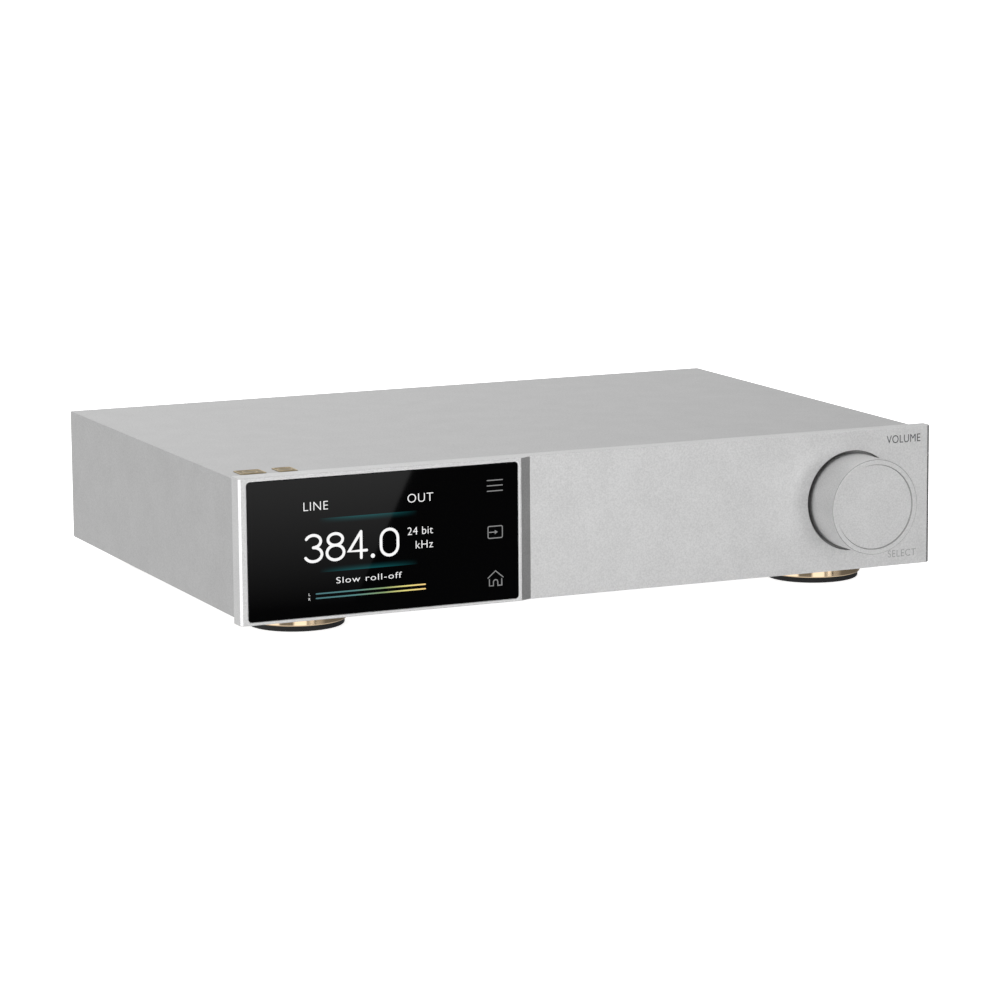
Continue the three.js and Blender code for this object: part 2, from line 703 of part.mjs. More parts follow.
function addPower() {
  const core = TRANSFORMER;
  const spool = group(dac, core.x, core.y, 0);
  const [low, high] = core.z;
  const windings = turnedUpright([
    [core.bore, low + 4],
    [core.bore + 4, low],
    [core.r - 5, low],
    [core.r, low + 6],
    [core.r, high - 6],
    [core.r - 5, high],
    [core.bore + 4, high],
    [core.bore, high - 4],
    [core.bore, low + 4],
  ], 24);
  add(spool, "transformer", windings, WINDING);
  const clampDisc = turnedUpright(
    [[2.8, high + 0.3], [22, high + 0.3], [22, high + 1.8], [2.8, high + 1.8], [2.8, high + 0.3]],
    24,
  );
  add(spool, "transformer_clamp", clampDisc, BRIGHT_STEEL);
  const bolt = join(post(2.4, [FOOT_H + WALL + GAP, 46], 12), post(4.6, [high + 2.1, 46.6], 6));
  add(spool, "transformer_bolt", bolt, BRIGHT_STEEL);

  const top = BOARD_Z + BOARD_T;
  const board = join(
    box(POWER_BOARD.x, POWER_BOARD.y, [BOARD_Z, top]),
    box([-62, -48], [-30, -22], [top - 1, top + 9.4]),
    box([-112, -104], [-62, -34], [top - 1, top + 22]),
    box([-98, -84], [-70, -64], [top - 1, top + 14]),
    ...capacitors([[-92, -52], [-76, -52], [-92, -34], [-76, -34]], 7, 24),
  );
  add(dac, "power_board", board, CIRCUIT_BOARD);

  // The mains loom runs from the inlet, past the transformer, to the supply board's terminals.
  const route = new THREE.CatmullRomCurve3([
    [-66, REAR_Y - 22.5, 24],
    [-65.8, 64.5, 24],
    [-58, 56, 22.5],
    [-47.5, 44, 21.2],
    [-46, 20, 21],
    [-47, -4, 21.5],
    [-52.5, -15, 22],
    [-53, -21.6, 22],
  ].map((at) => new THREE.Vector3(...at)));
  const round = new THREE.Shape().absarc(0, 0, 2.6, 0, 2 * Math.PI);
  const loom = new THREE.ExtrudeGeometry(round, { extrudePath: route, steps: 16, curveSegments: 4 });
  add(dac, "mains_loom", loom, CABLE);

  // An arched flat cable joins the supply board to the main board.
  const arch = new THREE.Path().absarc(-42, 22, 7, Math.PI, 0, true);
  const legs = [[-49, top + GAP], [-49, 22]].map(([x, z]) => new THREE.Vector2(x, z));
  const strip = new THREE.CurvePath();
  strip.add(new THREE.LineCurve(...legs));
  strip.curves.push(...arch.curves);
  strip.add(new THREE.LineCurve(new THREE.Vector2(-35, 22), new THREE.Vector2(-35, top + GAP)));
  add(dac, "power_ribbon", alongY(ribbonOutline(strip, 0.8, 16), [-46, -32]), CABLE);
}

function addMainBoard() {
  const top = BOARD_Z + BOARD_T;
  const chips = [[-10, 20], [20, -10], [48, 24], [78, 24]].map(([x, y]) =>
    box([x - 7, x + 7], [y - 7, y + 7], [top - 1, top + 1.6]));
  const board = join(
    box(MAIN_BOARD.x, MAIN_BOARD.y, [BOARD_Z, top]),
    ...chips,
    box([56, 72], [52, 62], [top - 1, top + 8]),
    box([84, 100], [52, 62], [top - 1, top + 8]),
    box([-30, 6], [40, 66], [top - 1, top + 5]),
    ...capacitors([[16, 50], [28, 50], [16, 64], [28, 64], [90, -10], [90, -26]], 4.5, 12),
  );
  add(dac, "main_board", board, CIRCUIT_BOARD);

  const fall = new THREE.CubicBezierCurve(
    new THREE.Vector2(FACE_Y + PANEL_T + BOARD_T + 0.65, 26),
    new THREE.Vector2(-62, 26),
    new THREE.Vector2(-47, 30),
    new THREE.Vector2(-47, top + GAP),
  );
  add(dac, "display_ribbon", alongX(ribbonOutline(fall, 0.8, 12), [-32, -16]), CABLE);
}

addFront();
addVolumeControl();
addCase();
addFeet();
addRear();
addPower();
addMainBoard();

export default dac;
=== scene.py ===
import json
import math

import bmesh
import bpy
from mathutils import Matrix, Vector


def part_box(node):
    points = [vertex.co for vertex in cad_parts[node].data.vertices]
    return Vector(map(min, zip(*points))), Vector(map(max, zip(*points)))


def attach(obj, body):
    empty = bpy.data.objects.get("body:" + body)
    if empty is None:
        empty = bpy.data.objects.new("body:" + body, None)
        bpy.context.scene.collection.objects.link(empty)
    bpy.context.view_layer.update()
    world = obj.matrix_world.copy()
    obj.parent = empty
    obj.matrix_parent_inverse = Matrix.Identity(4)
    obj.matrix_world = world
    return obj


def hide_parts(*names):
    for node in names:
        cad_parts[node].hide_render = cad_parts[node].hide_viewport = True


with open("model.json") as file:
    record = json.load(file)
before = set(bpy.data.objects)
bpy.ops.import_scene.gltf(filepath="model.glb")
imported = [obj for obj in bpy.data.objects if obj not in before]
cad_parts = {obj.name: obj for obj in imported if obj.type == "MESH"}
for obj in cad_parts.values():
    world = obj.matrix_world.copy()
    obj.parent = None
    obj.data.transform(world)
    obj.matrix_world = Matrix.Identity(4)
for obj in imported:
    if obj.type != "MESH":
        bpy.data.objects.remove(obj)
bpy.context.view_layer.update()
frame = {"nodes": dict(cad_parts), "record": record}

MM = 0.001
CHASSIS = "chassis"
KNOB = "knob"

# Sizes in millimetres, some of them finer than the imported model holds
EDGE = 0.3             # chamfer along the front panel's top and bottom
END_EDGE = 0.7         # the wider, bright one at its two ends
RIGHT_EDGE = 1.1       # the right end's is shallower: this wide across the face
BLOCK_PROUD = 1.75     # how far the display block stands in front of the right part
BLOCK_MARGIN = 1.15    # block's right edge to the glass
BLOCK_SLOPE = 4.0      # width of the slanted strip beside the block
GLASS_BEVEL = 0.4      # bright bevel that frames the glass
GLASS_CORNER = 1.2
RECESS_R = 17.4        # knob's well in the panel
RECESS_DEPTH = 2.5
KNOB_RIM = 1.7
KNOB_DISH = 0.8
COVER_CORNER = 0.45
WALL = 2.0

# Where things are on the screen, in millimetres from the front panel's lower left corner
GLOW_TOP = 33.6
GLOW_BOTTOM = 15.7
GLOW_MIDDLE = 45.0
GLOW_REACH = 17.5      # from the middle of a glow to either end
GLOW_DEPTH = 2.2
BARS_X = (26.3, 64.9)


def box_mm(node):
    low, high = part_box(node)
    return low / MM, high / MM


def middle_of(low, high):
    return (low.x + high.x) / 2, (low.y + high.y) / 2, (low.z + high.z) / 2


# ------------------------------------------------------------------ outlines

def softened(points, steps=4):
    """A closed outline of (a, b, radius) corners, with each corner rounded by its radius."""
    out = []
    count = len(points)
    for i, (a, b, radius) in enumerate(points):
        corner = Vector((a, b))
        if radius <= 0:
            out.append((a, b))
            continue
        before = (Vector(points[i - 1][:2]) - corner).normalized()
        after = (Vector(points[(i + 1) % count][:2]) - corner).normalized()
        half = before.angle(after) / 2
        centre = corner + (before + after).normalized() * (radius / math.sin(half))
        start = corner + before * (radius / math.tan(half)) - centre
        end = corner + after * (radius / math.tan(half)) - centre
        first = math.atan2(start.y, start.x)
        sweep = math.atan2(end.y, end.x) - first
        sweep = (sweep + math.pi) % (2 * math.pi) - math.pi
        for k in range(steps + 1):
            angle = first + sweep * k / steps
            out.append((centre.x + radius * math.cos(angle), centre.y + radius * math.sin(angle)))
    return out


def rounded_rect(a0, a1, b0, b1, radius, steps=8):
    return softened([(a0, b0, radius), (a1, b0, radius), (a1, b1, radius), (a0, b1, radius)], steps)


def inset(points, distances):
    """A counterclockwise outline, with the edge after point i moved inwards by distances[i]."""
    out = []
    count = len(points)
    for i in range(count):
        lines = []
        for j in (i - 1, i):
            start, end = Vector(points[j % count]), Vector(points[(j + 1) % count])
            along = (end - start).normalized()
            inward = Vector((-along.y, along.x))
            lines.append((start + inward * distances[j % count], along))
        (p, u), (q, v) = lines
        cross = u.x * v.y - u.y * v.x
        if abs(cross) < 1e-9:
            out.append(tuple(q))
            continue
        t = ((q.x - p.x) * v.y - (q.y - p.y) * v.x) / cross
        out.append(tuple(p + u * t))
    return out


def grown(outline, distance):
    """An outline moved outwards on every side."""
    return inset(outline, [-distance] * len(outline))


# ------------------------------------------------------------------ meshes

def loft(loops, closed=False, material=0, bands=None):
    """Skins a stack of equal loops of (x, y, z) points. bands gives a material index per stretch."""
    made = bmesh.new()
    rows = [[made.verts.new(p) for p in loop] for loop in loops]
    stretches = list(zip(rows, rows[1:]))
    if closed:
        stretches.append((rows[-1], rows[0]))
    for index, (lower, upper) in enumerate(stretches):
        for k in range(len(lower)):
            j = (k + 1) % len(lower)
            face = made.faces.new([lower[k], lower[j], upper[j], upper[k]])
            face.material_index = bands[index] if bands else material
    if not closed:
        for row in (rows[0][::-1], rows[-1]):
            made.faces.new(row).material_index = material
    bmesh.ops.recalc_face_normals(made, faces=made.faces)
    return made


def prism(outline, low, high, axis="Z", edge=0.0, material=0):
    """An outline extruded along an axis, its ends chamfered by edge."""
    levels = [(outline, low), (outline, high)]
    if edge:
        small = grown(outline, -edge)
        levels = [(small, low), (outline, low + edge), (outline, high - edge), (small, high)]
    place = {
        "Z": lambda a, b, h: (a, b, h),
        "Y": lambda a, b, h: (a, h, b),
        "X": lambda a, b, h: (h, a, b),
    }[axis]
    return loft([[place(a, b, h) for a, b in loop] for loop, h in levels], material=material)


def slab(a0, a1, b0, b1, radius, steps, low, high, edge=0.0):
    """A rounded rectangle in XZ, extruded along Y."""
    return prism(rounded_rect(a0, a1, b0, b1, radius, steps), low, high, "Y", edge)


def stacked(levels, x=0.0, **settings):
    """Skins (outline in XZ, y) levels, all moved sideways by x."""
    return loft([[(a + x, y, b) for a, b in loop] for loop, y in levels], **settings)


def lathe(profile, steps=96, axis="Y", closed=False, bands=None):
    """Turns (radius, height) points about an axis. bands gives a material index per stretch."""
    place = {
        "Z": lambda a, b, h: (a, b, h),
        "Y": lambda a, b, h: (a, h, -b),
        "X": lambda a, b, h: (h, a, b),
    }[axis]
    made = bmesh.new()
    rings = []
    for radius, height in profile:
        turns = 1 if radius < 1e-6 else steps
        rings.append([
            made.verts.new(place(
                radius * math.cos(2 * math.pi * k / steps),
                radius * math.sin(2 * math.pi * k / steps),
                height,
            ))
            for k in range(turns)
        ])
    stretches = list(zip(rings, rings[1:]))
    if closed:
        stretches.append((rings[-1], rings[0]))
    for index, (lower, upper) in enumerate(stretches):
        if len(lower) == len(upper) == 1:
            continue
        for k in range(steps):
            j = (k + 1) % steps
            corners = []
            for ring, at in ((lower, k), (lower, j), (upper, j), (upper, k)):
                vertex = ring[at % len(ring)]
                if vertex not in corners:
                    corners.append(vertex)
            made.faces.new(corners).material_index = bands[index] if bands else 0
    bmesh.ops.recalc_face_normals(made, faces=made.faces)
    return made


def turned(corners, steps=96, axis="Y", rounding=3):
    """A lathe body from (radius, height, edge rounding) corners that start and end on the axis."""
    return lathe(softened(corners, rounding), steps, axis)


def disc(radius, low, high, steps=48, rounding=0.0):
    """A round bar along Y, with its far edge rounded."""
    return turned([(0, low, 0), (radius, low, 0), (radius, high, rounding), (0, high, 0)], steps)


def ring(corners, steps=96, axis="Y", rounding=3):
    """A lathe body from a closed section of (radius, height, edge rounding) corners."""
    return lathe(softened(corners, rounding), steps, axis, closed=True)


def moved(made, x=0.0, y=0.0, z=0.0):
    made.transform(Matrix.Translation((x, y, z)))
    return made


def tinted(made, index):
    """Gives every face of a mesh the same material index."""
    for face in made.faces:
        face.material_index = index
    return made


def merged(*parts):
    """Several closed shells in one mesh."""
    made = bmesh.new()
    for part in parts:
        mesh = bpy.data.meshes.new("part")
        part.to_mesh(mesh)
        part.free()
        made.from_mesh(mesh)
        bpy.data.meshes.remove(mesh)
    return made


def boolean(first, others, operation):
    """first with the other meshes cut from it or joined to it, as a new mesh."""
    objects = []
    for made in [first, *others]:
        mesh = bpy.data.meshes.new("boolean")
        made.to_mesh(mesh)
        made.free()
        for _ in range(5):
            mesh.materials.append(None)
        obj = bpy.data.objects.new("boolean", mesh)
        bpy.context.scene.collection.objects.link(obj)
        objects.append(obj)
    for other in objects[1:]:
        step = objects[0].modifiers.new("step", "BOOLEAN")
        step.operation = operation
        step.solver = "EXACT"
        step.object = other
    seen = objects[0].evaluated_get(bpy.context.evaluated_depsgraph_get())
    result = bmesh.new()
    result.from_mesh(seen.to_mesh())
    for obj in objects:
        mesh = obj.data
        bpy.data.objects.remove(obj)
        bpy.data.meshes.remove(mesh)
    bmesh.ops.remove_doubles(result, verts=result.verts, dist=1e-5)
    many_sided = [face for face in result.faces if len(face.verts) > 4]
    bmesh.ops.triangulate(result, faces=many_sided)
    return result


def cut(first, *tools):
    return boolean(first, tools, "DIFFERENCE")


def join(first, *more):
    return boolean(first, more, "UNION")


def piece(name, made, materials, body=CHASSIS, replaces=(), sharp=32):
    """Puts a mesh drawn in millimetres into the scene as a piece that rides on a body."""
    mesh = bpy.data.meshes.new(name)
    made.transform(Matrix.Scale(MM, 4))
    made.to_mesh(mesh)
    made.free()
    for mat in materials if isinstance(materials, (list, tuple)) else [materials]:
        mesh.materials.append(mat)
    mesh.shade_smooth()
    mesh.set_sharp_from_angle(angle=math.radians(sharp))
    obj = bpy.data.objects.new(name, mesh)
    bpy.context.scene.collection.objects.link(obj)
    flat_faces = obj.modifiers.new("even_flat_faces", "WEIGHTED_NORMAL")
    flat_faces.keep_sharp = True
    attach(obj, body)
    if replaces:
        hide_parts(*replaces)


SLOT_OF = {part["node"]: part["material_slot"] for part in frame["record"]["subparts"]}


def fine(node, made, materials, sharp=30, body=CHASSIS, name=None):
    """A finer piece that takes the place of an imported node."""
    piece(name or node + "_fine", made, materials, body, [node], sharp)


# ------------------------------------------------------------------ materials

class Tree:
    """Short calls for building shader nodes."""

    def __init__(self, tree):
        self.tree = tree

    def add(self, kind, **settings):
        node = self.tree.nodes.new(kind)
        for key, value in settings.items():
            setattr(node, key, value)
        return node

    def link(self, source, target):
        self.tree.links.new(source, target)

    def spread(self, value, low, high, start=0.3, end=0.7):
        node = self.add("ShaderNodeMapRange")
        limits = {"From Min": start, "From Max": end, "To Min": low, "To Max": high}
        for key, number in limits.items():
            node.inputs[key].default_value = number
        self.link(value, node.inputs["Value"])
        return node.outputs["Result"]

    def ramp(self, value, stops):
        node = self.add("ShaderNodeValToRGB")
        elements = node.color_ramp.elements
        while len(elements) < len(stops):
            elements.new(0.5)
        for element, (position, color) in zip(elements, stops):
            element.position = position
            element.color = (*color, 1)
        self.link(value, node.inputs["Fac"])
        return node.outputs["Color"]

    def math(self, operation, a, b=None):
        node = self.add("ShaderNodeMath", operation=operation)
        for socket, value in zip(node.inputs, (a, b)):
            if value is None:
                continue
            if isinstance(value, (int, float)):
                socket.default_value = value
            else:
                self.link(value, socket)
        return node.outputs["Value"]

    def between(self, factor, low, high):
        """low where factor is 0, high where it is 1."""
        rise = self.math("SUBTRACT", high, low)
        return self.math("ADD", self.math("MULTIPLY", factor, rise), low)


class Nodes(Tree):
    """A material with a Principled shader, and short calls for the nodes that vary it."""

    def __init__(self, name, color, roughness, metallic=0.0, **sockets):
        self.material = bpy.data.materials.new(name)
        self.material.use_nodes = True
        super().__init__(self.material.node_tree)
        self.shader = self.tree.nodes["Principled BSDF"]
        self.shader.inputs["Base Color"].default_value = (*color, 1)
        self.shader.inputs["Roughness"].default_value = roughness
        self.shader.inputs["Metallic"].default_value = metallic
        for key, value in sockets.items():
            self.shader.inputs[key.replace("_", " ")].default_value = value
        self.place = self.add("ShaderNodeTexCoord").outputs["Object"]

    def stretched(self, x, y, z):
        """Object coordinates scaled axis by axis, for grain that runs one way."""
        node = self.add("ShaderNodeMapping")
        node.inputs["Scale"].default_value = (x, y, z)
        self.link(self.place, node.inputs["Vector"])
        return node.outputs["Vector"]

    def noise(self, scale, detail=3.0, where=None):
        node = self.add("ShaderNodeTexNoise")
        node.inputs["Scale"].default_value = scale
        node.inputs["Detail"].default_value = detail
        self.link(where or self.place, node.inputs["Vector"])
        return node.outputs["Fac"]

    def bump(self, height, strength, distance):
        node = self.add("ShaderNodeBump")
        node.inputs["Strength"].default_value = strength
        node.inputs["Distance"].default_value = distance
        self.link(height, node.inputs["Height"])
        self.link(node.outputs["Normal"], self.shader.inputs["Normal"])

    def feed(self, socket, value):
        self.link(value, self.shader.inputs[socket])


def blasted_aluminium(name, tone, roughness):
    """Bead-blasted and clear anodised: an even, fine grain with faint cloudy variation."""
    mat = Nodes(name, (tone, tone, tone * 1.005), roughness, 1.0)
    grain = mat.noise(1900, 4.0)
    cloud = mat.noise(90, 4.0)
    shade = mat.math("ADD", mat.math("MULTIPLY", grain, 0.75), mat.math("MULTIPLY", cloud, 0.25))
    dark, light = tone * 0.9, tone * 1.09
    mat.feed("Base Color", mat.ramp(shade, [(0.34, (dark,) * 3), (0.66, (light,) * 3)]))
    mat.feed("Roughness", mat.spread(cloud, roughness - 0.003, roughness + 0.01))
    mat.bump(grain, 0.25, 0.00005)
    return mat.material


def cut_metal(name, color, roughness, lines=(40, 40, 2400), strength=0.05):
    """Machined or polished metal with faint tool lines."""
    mat = Nodes(name, color, roughness, 1.0)
    marks = mat.noise(1.0, 2.0, mat.stretched(*lines))
    mat.feed("Roughness", mat.spread(marks, roughness * 0.8, roughness * 1.25))
    mat.feed("Base Color", mat.ramp(marks, [(0.3, [c * 0.93 for c in color]), (0.7, color)]))
    mat.bump(marks, strength, 0.00002)
    return mat.material


def painted_highlight_rim(name):
    """The satin bevel that frames the glass: pale, mostly non-metallic paint that gives it a painted
    highlight, even in tone on all four sides.
    """
    mat = Nodes(name, (0.8, 0.8, 0.8), 0.35, 0.25)
    marks = mat.noise(1200, 2.0)
    mat.feed("Base Color", mat.ramp(marks, [(0.3, (0.74,) * 3), (0.7, (0.82,) * 3)]))
    mat.feed("Roughness", mat.spread(marks, 0.3, 0.42))
    return mat.material


def moulded(name, color, roughness, grain=2600, strength=0.12):
    """Moulded plastic or rubber with a fine skin texture."""
    mat = Nodes(name, color, roughness)
    skin = mat.noise(grain, 3.0)
    patch = mat.noise(60, 2.0)
    mat.feed("Roughness", mat.spread(patch, roughness - 0.05, roughness + 0.07))
    dark, light = ([c * change for c in color] for change in (0.8, 1.25))
    mat.feed("Base Color", mat.ramp(skin, [(0.3, dark), (0.7, light)]))
    mat.bump(skin, strength, 0.00008)
    return mat.material


def circuit_board(name):
    """Green solder mask over copper tracks."""
    mat = Nodes(name, (0.02, 0.09, 0.04), 0.35)
    tracks = mat.add("ShaderNodeTexBrick")
    tracks.inputs["Scale"].default_value = 260
    for key, color in (("Color1", (0.012, 0.075, 0.03)), ("Color2", (0.018, 0.10, 0.042)),
                       ("Mortar", (0.03, 0.15, 0.07))):
        tracks.inputs[key].default_value = (*color, 1)
    mat.link(mat.place, tracks.inputs["Vector"])
    mat.feed("Base Color", tracks.outputs["Color"])
    mat.bump(tracks.outputs["Fac"], 0.3, 0.00005)
    return mat.material


def taped_winding(name):
    """Yellow tape wound round a ring core: overlapping turns that fan out from the centre."""
    mat = Nodes(name, (0.62, 0.42, 0.06), 0.35)
    low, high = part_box("transformer")
    centre = (low + high) / 2
    shift = mat.add("ShaderNodeMapping")
    shift.inputs["Location"].default_value = -centre
    mat.link(mat.place, shift.inputs["Vector"])
    turns = mat.add("ShaderNodeTexGradient", gradient_type="RADIAL")
    mat.link(shift.outputs["Vector"], turns.inputs["Vector"])
    lap = mat.math("FRACT", mat.math("MULTIPLY", turns.outputs["Fac"], 36.0))
    mat.feed("Base Color", mat.ramp(lap, [(0.0, (0.40, 0.24, 0.03)), (0.12, (0.66, 0.46, 0.07)),
                                          (1.0, (0.58, 0.39, 0.05))]))
    mat.bump(lap, 0.5, 0.0003)
    return mat.material


def screen_glass(name):
    """Black back-printed glass. Two soft teal bands glow in it, above and below the figures."""
    mat = Nodes(name, (0.0006, 0.0006, 0.0007), 0.012, Specular_IOR_Level=0.16)
    smear = mat.noise(55, 3.0)
    mat.feed("Roughness", mat.spread(smear, 0.008, 0.018))
    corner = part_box("front_panel")[0]
    axes = mat.add("ShaderNodeSeparateXYZ")
    mat.link(mat.place, axes.inputs["Vector"])
    across = mat.math("SUBTRACT", axes.outputs["X"], corner.x + GLOW_MIDDLE * MM)
    fade = mat.math("SUBTRACT", 1.0, mat.math("POWER", mat.math("DIVIDE", across, GLOW_REACH * MM), 2.0))
    fade = mat.math("MAXIMUM", fade, 0.0)
    glow = None
    for height, way in ((GLOW_TOP, -1), (GLOW_BOTTOM, 1)):
        above = mat.math("SUBTRACT", axes.outputs["Z"], corner.z + height * MM)
        away = mat.math("MULTIPLY", above, way / (GLOW_DEPTH * MM))
        edge = mat.math("GREATER_THAN", away, 0.0)
        soft = mat.math("MAXIMUM", mat.math("SUBTRACT", 1.0, away), 0.0)
        band = mat.math("MULTIPLY", edge, mat.math("POWER", soft, 2.0))
        glow = band if glow is None else mat.math("ADD", glow, band)
    light = mat.math("MULTIPLY", fade, glow)
    mat.feed("Emission Color", mat.ramp(light, [(0.0, (0, 0, 0)), (1.0, (0.004, 0.072, 0.078))]))
    mat.shader.inputs["Emission Strength"].default_value = 1.0
    return mat.material


def lit(name, color, strength):
    """A lit part of the screen, with the faint unevenness of its backlight."""
    mat = Nodes(name, (0.0, 0.0, 0.0), 0.3)
    patch = mat.noise(400, 1.0)
    mat.feed("Emission Color", mat.ramp(patch, [(0.3, [c * 0.96 for c in color]), (0.7, color)]))
    mat.shader.inputs["Emission Strength"].default_value = strength
    return mat.material


def lit_bars(name):
    """The level bars run from teal through green to amber."""
    mat = Nodes(name, (0.0, 0.0, 0.0), 0.3)
    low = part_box("front_panel")[0]
    axes = mat.add("ShaderNodeSeparateXYZ")
    mat.link(mat.place, axes.inputs["Vector"])
    start, end = low.x + BARS_X[0] * MM, low.x + BARS_X[1] * MM
    along = mat.spread(axes.outputs["X"], 0.0, 1.0, start, end)
    mat.feed("Emission Color", mat.ramp(along, [
        (0.0, (0.04, 0.15, 0.17)), (0.35, (0.06, 0.21, 0.21)), (0.62, (0.22, 0.33, 0.13)),
        (0.82, (0.78, 0.70, 0.20)), (1.0, (0.95, 0.66, 0.22)),
    ]))
    mat.shader.inputs["Emission Strength"].default_value = 1.0
    return mat.material


ALUMINIUM = blasted_aluminium("blasted_aluminium", 0.56, 0.4)
PANEL_METAL = blasted_aluminium("panel_aluminium", 0.72, 0.4)
EDGE_METAL = cut_metal("bright_cut_edge", (0.86, 0.86, 0.87), 0.22, (300, 300, 300), 0.02)
# Pale, mostly non-metallic rim paint: a painted highlight on the glass's bevel
RIM_HIGHLIGHT_PAINT = painted_highlight_rim("glass_rim_painted_highlight")
# Darker aluminium: painted shade in the knob's well and on the knob's chamfer and step
PAINTED_SHADE_METAL = blasted_aluminium("painted_shade_aluminium", 0.40, 0.5)
CHAMPAGNE = cut_metal("champagne_metal", (0.80, 0.62, 0.42), 0.10, (30, 30, 3000), 0.03)
GOLD = cut_metal("gold_plate", (0.90, 0.66, 0.30), 0.2, (900, 900, 900))
FOIL = cut_metal("gold_foil", (0.60, 0.48, 0.28), 0.4, (700, 700, 700), 0.15)
FOIL_FIELD = cut_metal("gold_foil_field", (0.30, 0.24, 0.15), 0.45, (1400, 300, 700), 0.3)
NICKEL = cut_metal("nickel_plate", (0.58, 0.57, 0.54), 0.28, (500, 500, 500))
STEEL = cut_metal("zinc_steel", (0.55, 0.56, 0.57), 0.33, (300, 1500, 300))
BRASS = cut_metal("turned_brass", (0.62, 0.46, 0.2), 0.3)
BLACK_STEEL = cut_metal("black_steel", (0.045, 0.045, 0.048), 0.42, (800, 800, 800), 0.1)
RUBBER = moulded("foot_rubber", (0.005, 0.005, 0.0055), 0.75, 3200, 0.25)
PLASTIC = moulded("black_plastic", (0.016, 0.016, 0.017), 0.42)
SHINY_PLASTIC = moulded("rocker_plastic", (0.014, 0.014, 0.015), 0.25, 1800, 0.04)
WHITE_PLASTIC = moulded("white_insulator", (0.72, 0.71, 0.68), 0.4)
RED_PLASTIC = moulded("red_insulator", (0.40, 0.02, 0.02), 0.4)
JACKET = moulded("cable_jacket", (0.32, 0.32, 0.31), 0.55, 900)
DARK_FRAME = moulded("display_frame", (0.02, 0.02, 0.022), 0.5)
BOARD = circuit_board("circuit_board")
WINDING = taped_winding("winding")
SCREEN = screen_glass("black_glass")
LIT_WHITE = lit("lit_white", (1.0, 1.0, 1.0), 0.95)
LIT_GREY = lit("lit_grey", (0.30, 0.30, 0.30), 0.75)
LIT_BARS = lit_bars("lit_bars")
INK = moulded("panel_ink", (0.055, 0.055, 0.06), 0.5)
ENGRAVED = blasted_aluminium("engraved_metal", 0.42, 0.45)

SLOT_MATERIALS = {
    "satin_aluminium": ALUMINIUM,
    "black_glass": SCREEN,
    "display_frame": DARK_FRAME,
    "champagne_metal": CHAMPAGNE,
    "foot_rubber": RUBBER,
    "black_steel": BLACK_STEEL,
    "zinc_steel": STEEL,
    "nickel_plate": NICKEL,
    "gold_plate": GOLD,
    "gold_foil": FOIL,
    "brass": BRASS,
    "black_plastic": PLASTIC,
    "circuit_board": BOARD,
    "winding": WINDING,
    "cable_jacket": JACKET,
}


def dress_cad_nodes():
    """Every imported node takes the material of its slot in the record."""
    for node, slot in SLOT_OF.items():
        obj = frame["nodes"][node]
        obj.data.materials.clear()
        obj.data.materials.append(SLOT_MATERIALS[slot])
        obj.data.shade_smooth()
        obj.data.set_sharp_from_angle(angle=math.radians(25))


# ------------------------------------------------------------------ front panel

PANEL_LOW, PANEL_HIGH = box_mm("front_panel")
GLASS_LOW, GLASS_HIGH = box_mm("display_glass")
KNOB_LOW, KNOB_HIGH = box_mm("volume_knob")
KNOB_X = (KNOB_LOW.x + KNOB_HIGH.x) / 2
KNOB_Z = (KNOB_LOW.z + KNOB_HIGH.z) / 2
BLOCK_Y = PANEL_LOW.y
FACE_Y = BLOCK_Y + BLOCK_PROUD


def panel_plan():
    """The panel seen from above, counterclockwise from its left rear corner, with how far the
    chamfer along the top and bottom edges insets each side."""
    block_end = GLASS_HIGH.x + BLOCK_MARGIN
    points = [
        (PANEL_LOW.x, PANEL_HIGH.y),
        (PANEL_LOW.x, BLOCK_Y + END_EDGE),
        (PANEL_LOW.x + END_EDGE, BLOCK_Y),
        (block_end, BLOCK_Y),
        (block_end + BLOCK_SLOPE, FACE_Y),
        (PANEL_HIGH.x - RIGHT_EDGE, FACE_Y),
        (PANEL_HIGH.x, FACE_Y + END_EDGE),
        (PANEL_HIGH.x, PANEL_HIGH.y),
    ]
    insets = [0, EDGE, EDGE, EDGE, EDGE, EDGE, 0, 0]
    return points, insets


def mark_ends(made, bright):
    """The upright chamfers at the panel's two ends take the bright cut finish."""
    for face in made.faces:
        if abs(face.normal.x) > 0.5 and face.normal.y < -0.5:
            face.material_index = bright


def glass_outline(margin, radius):
    """The glass's outline, this much larger on every side."""
    return rounded_rect(GLASS_LOW.x - margin, GLASS_HIGH.x + margin,
                        GLASS_LOW.z - margin, GLASS_HIGH.z + margin, radius)


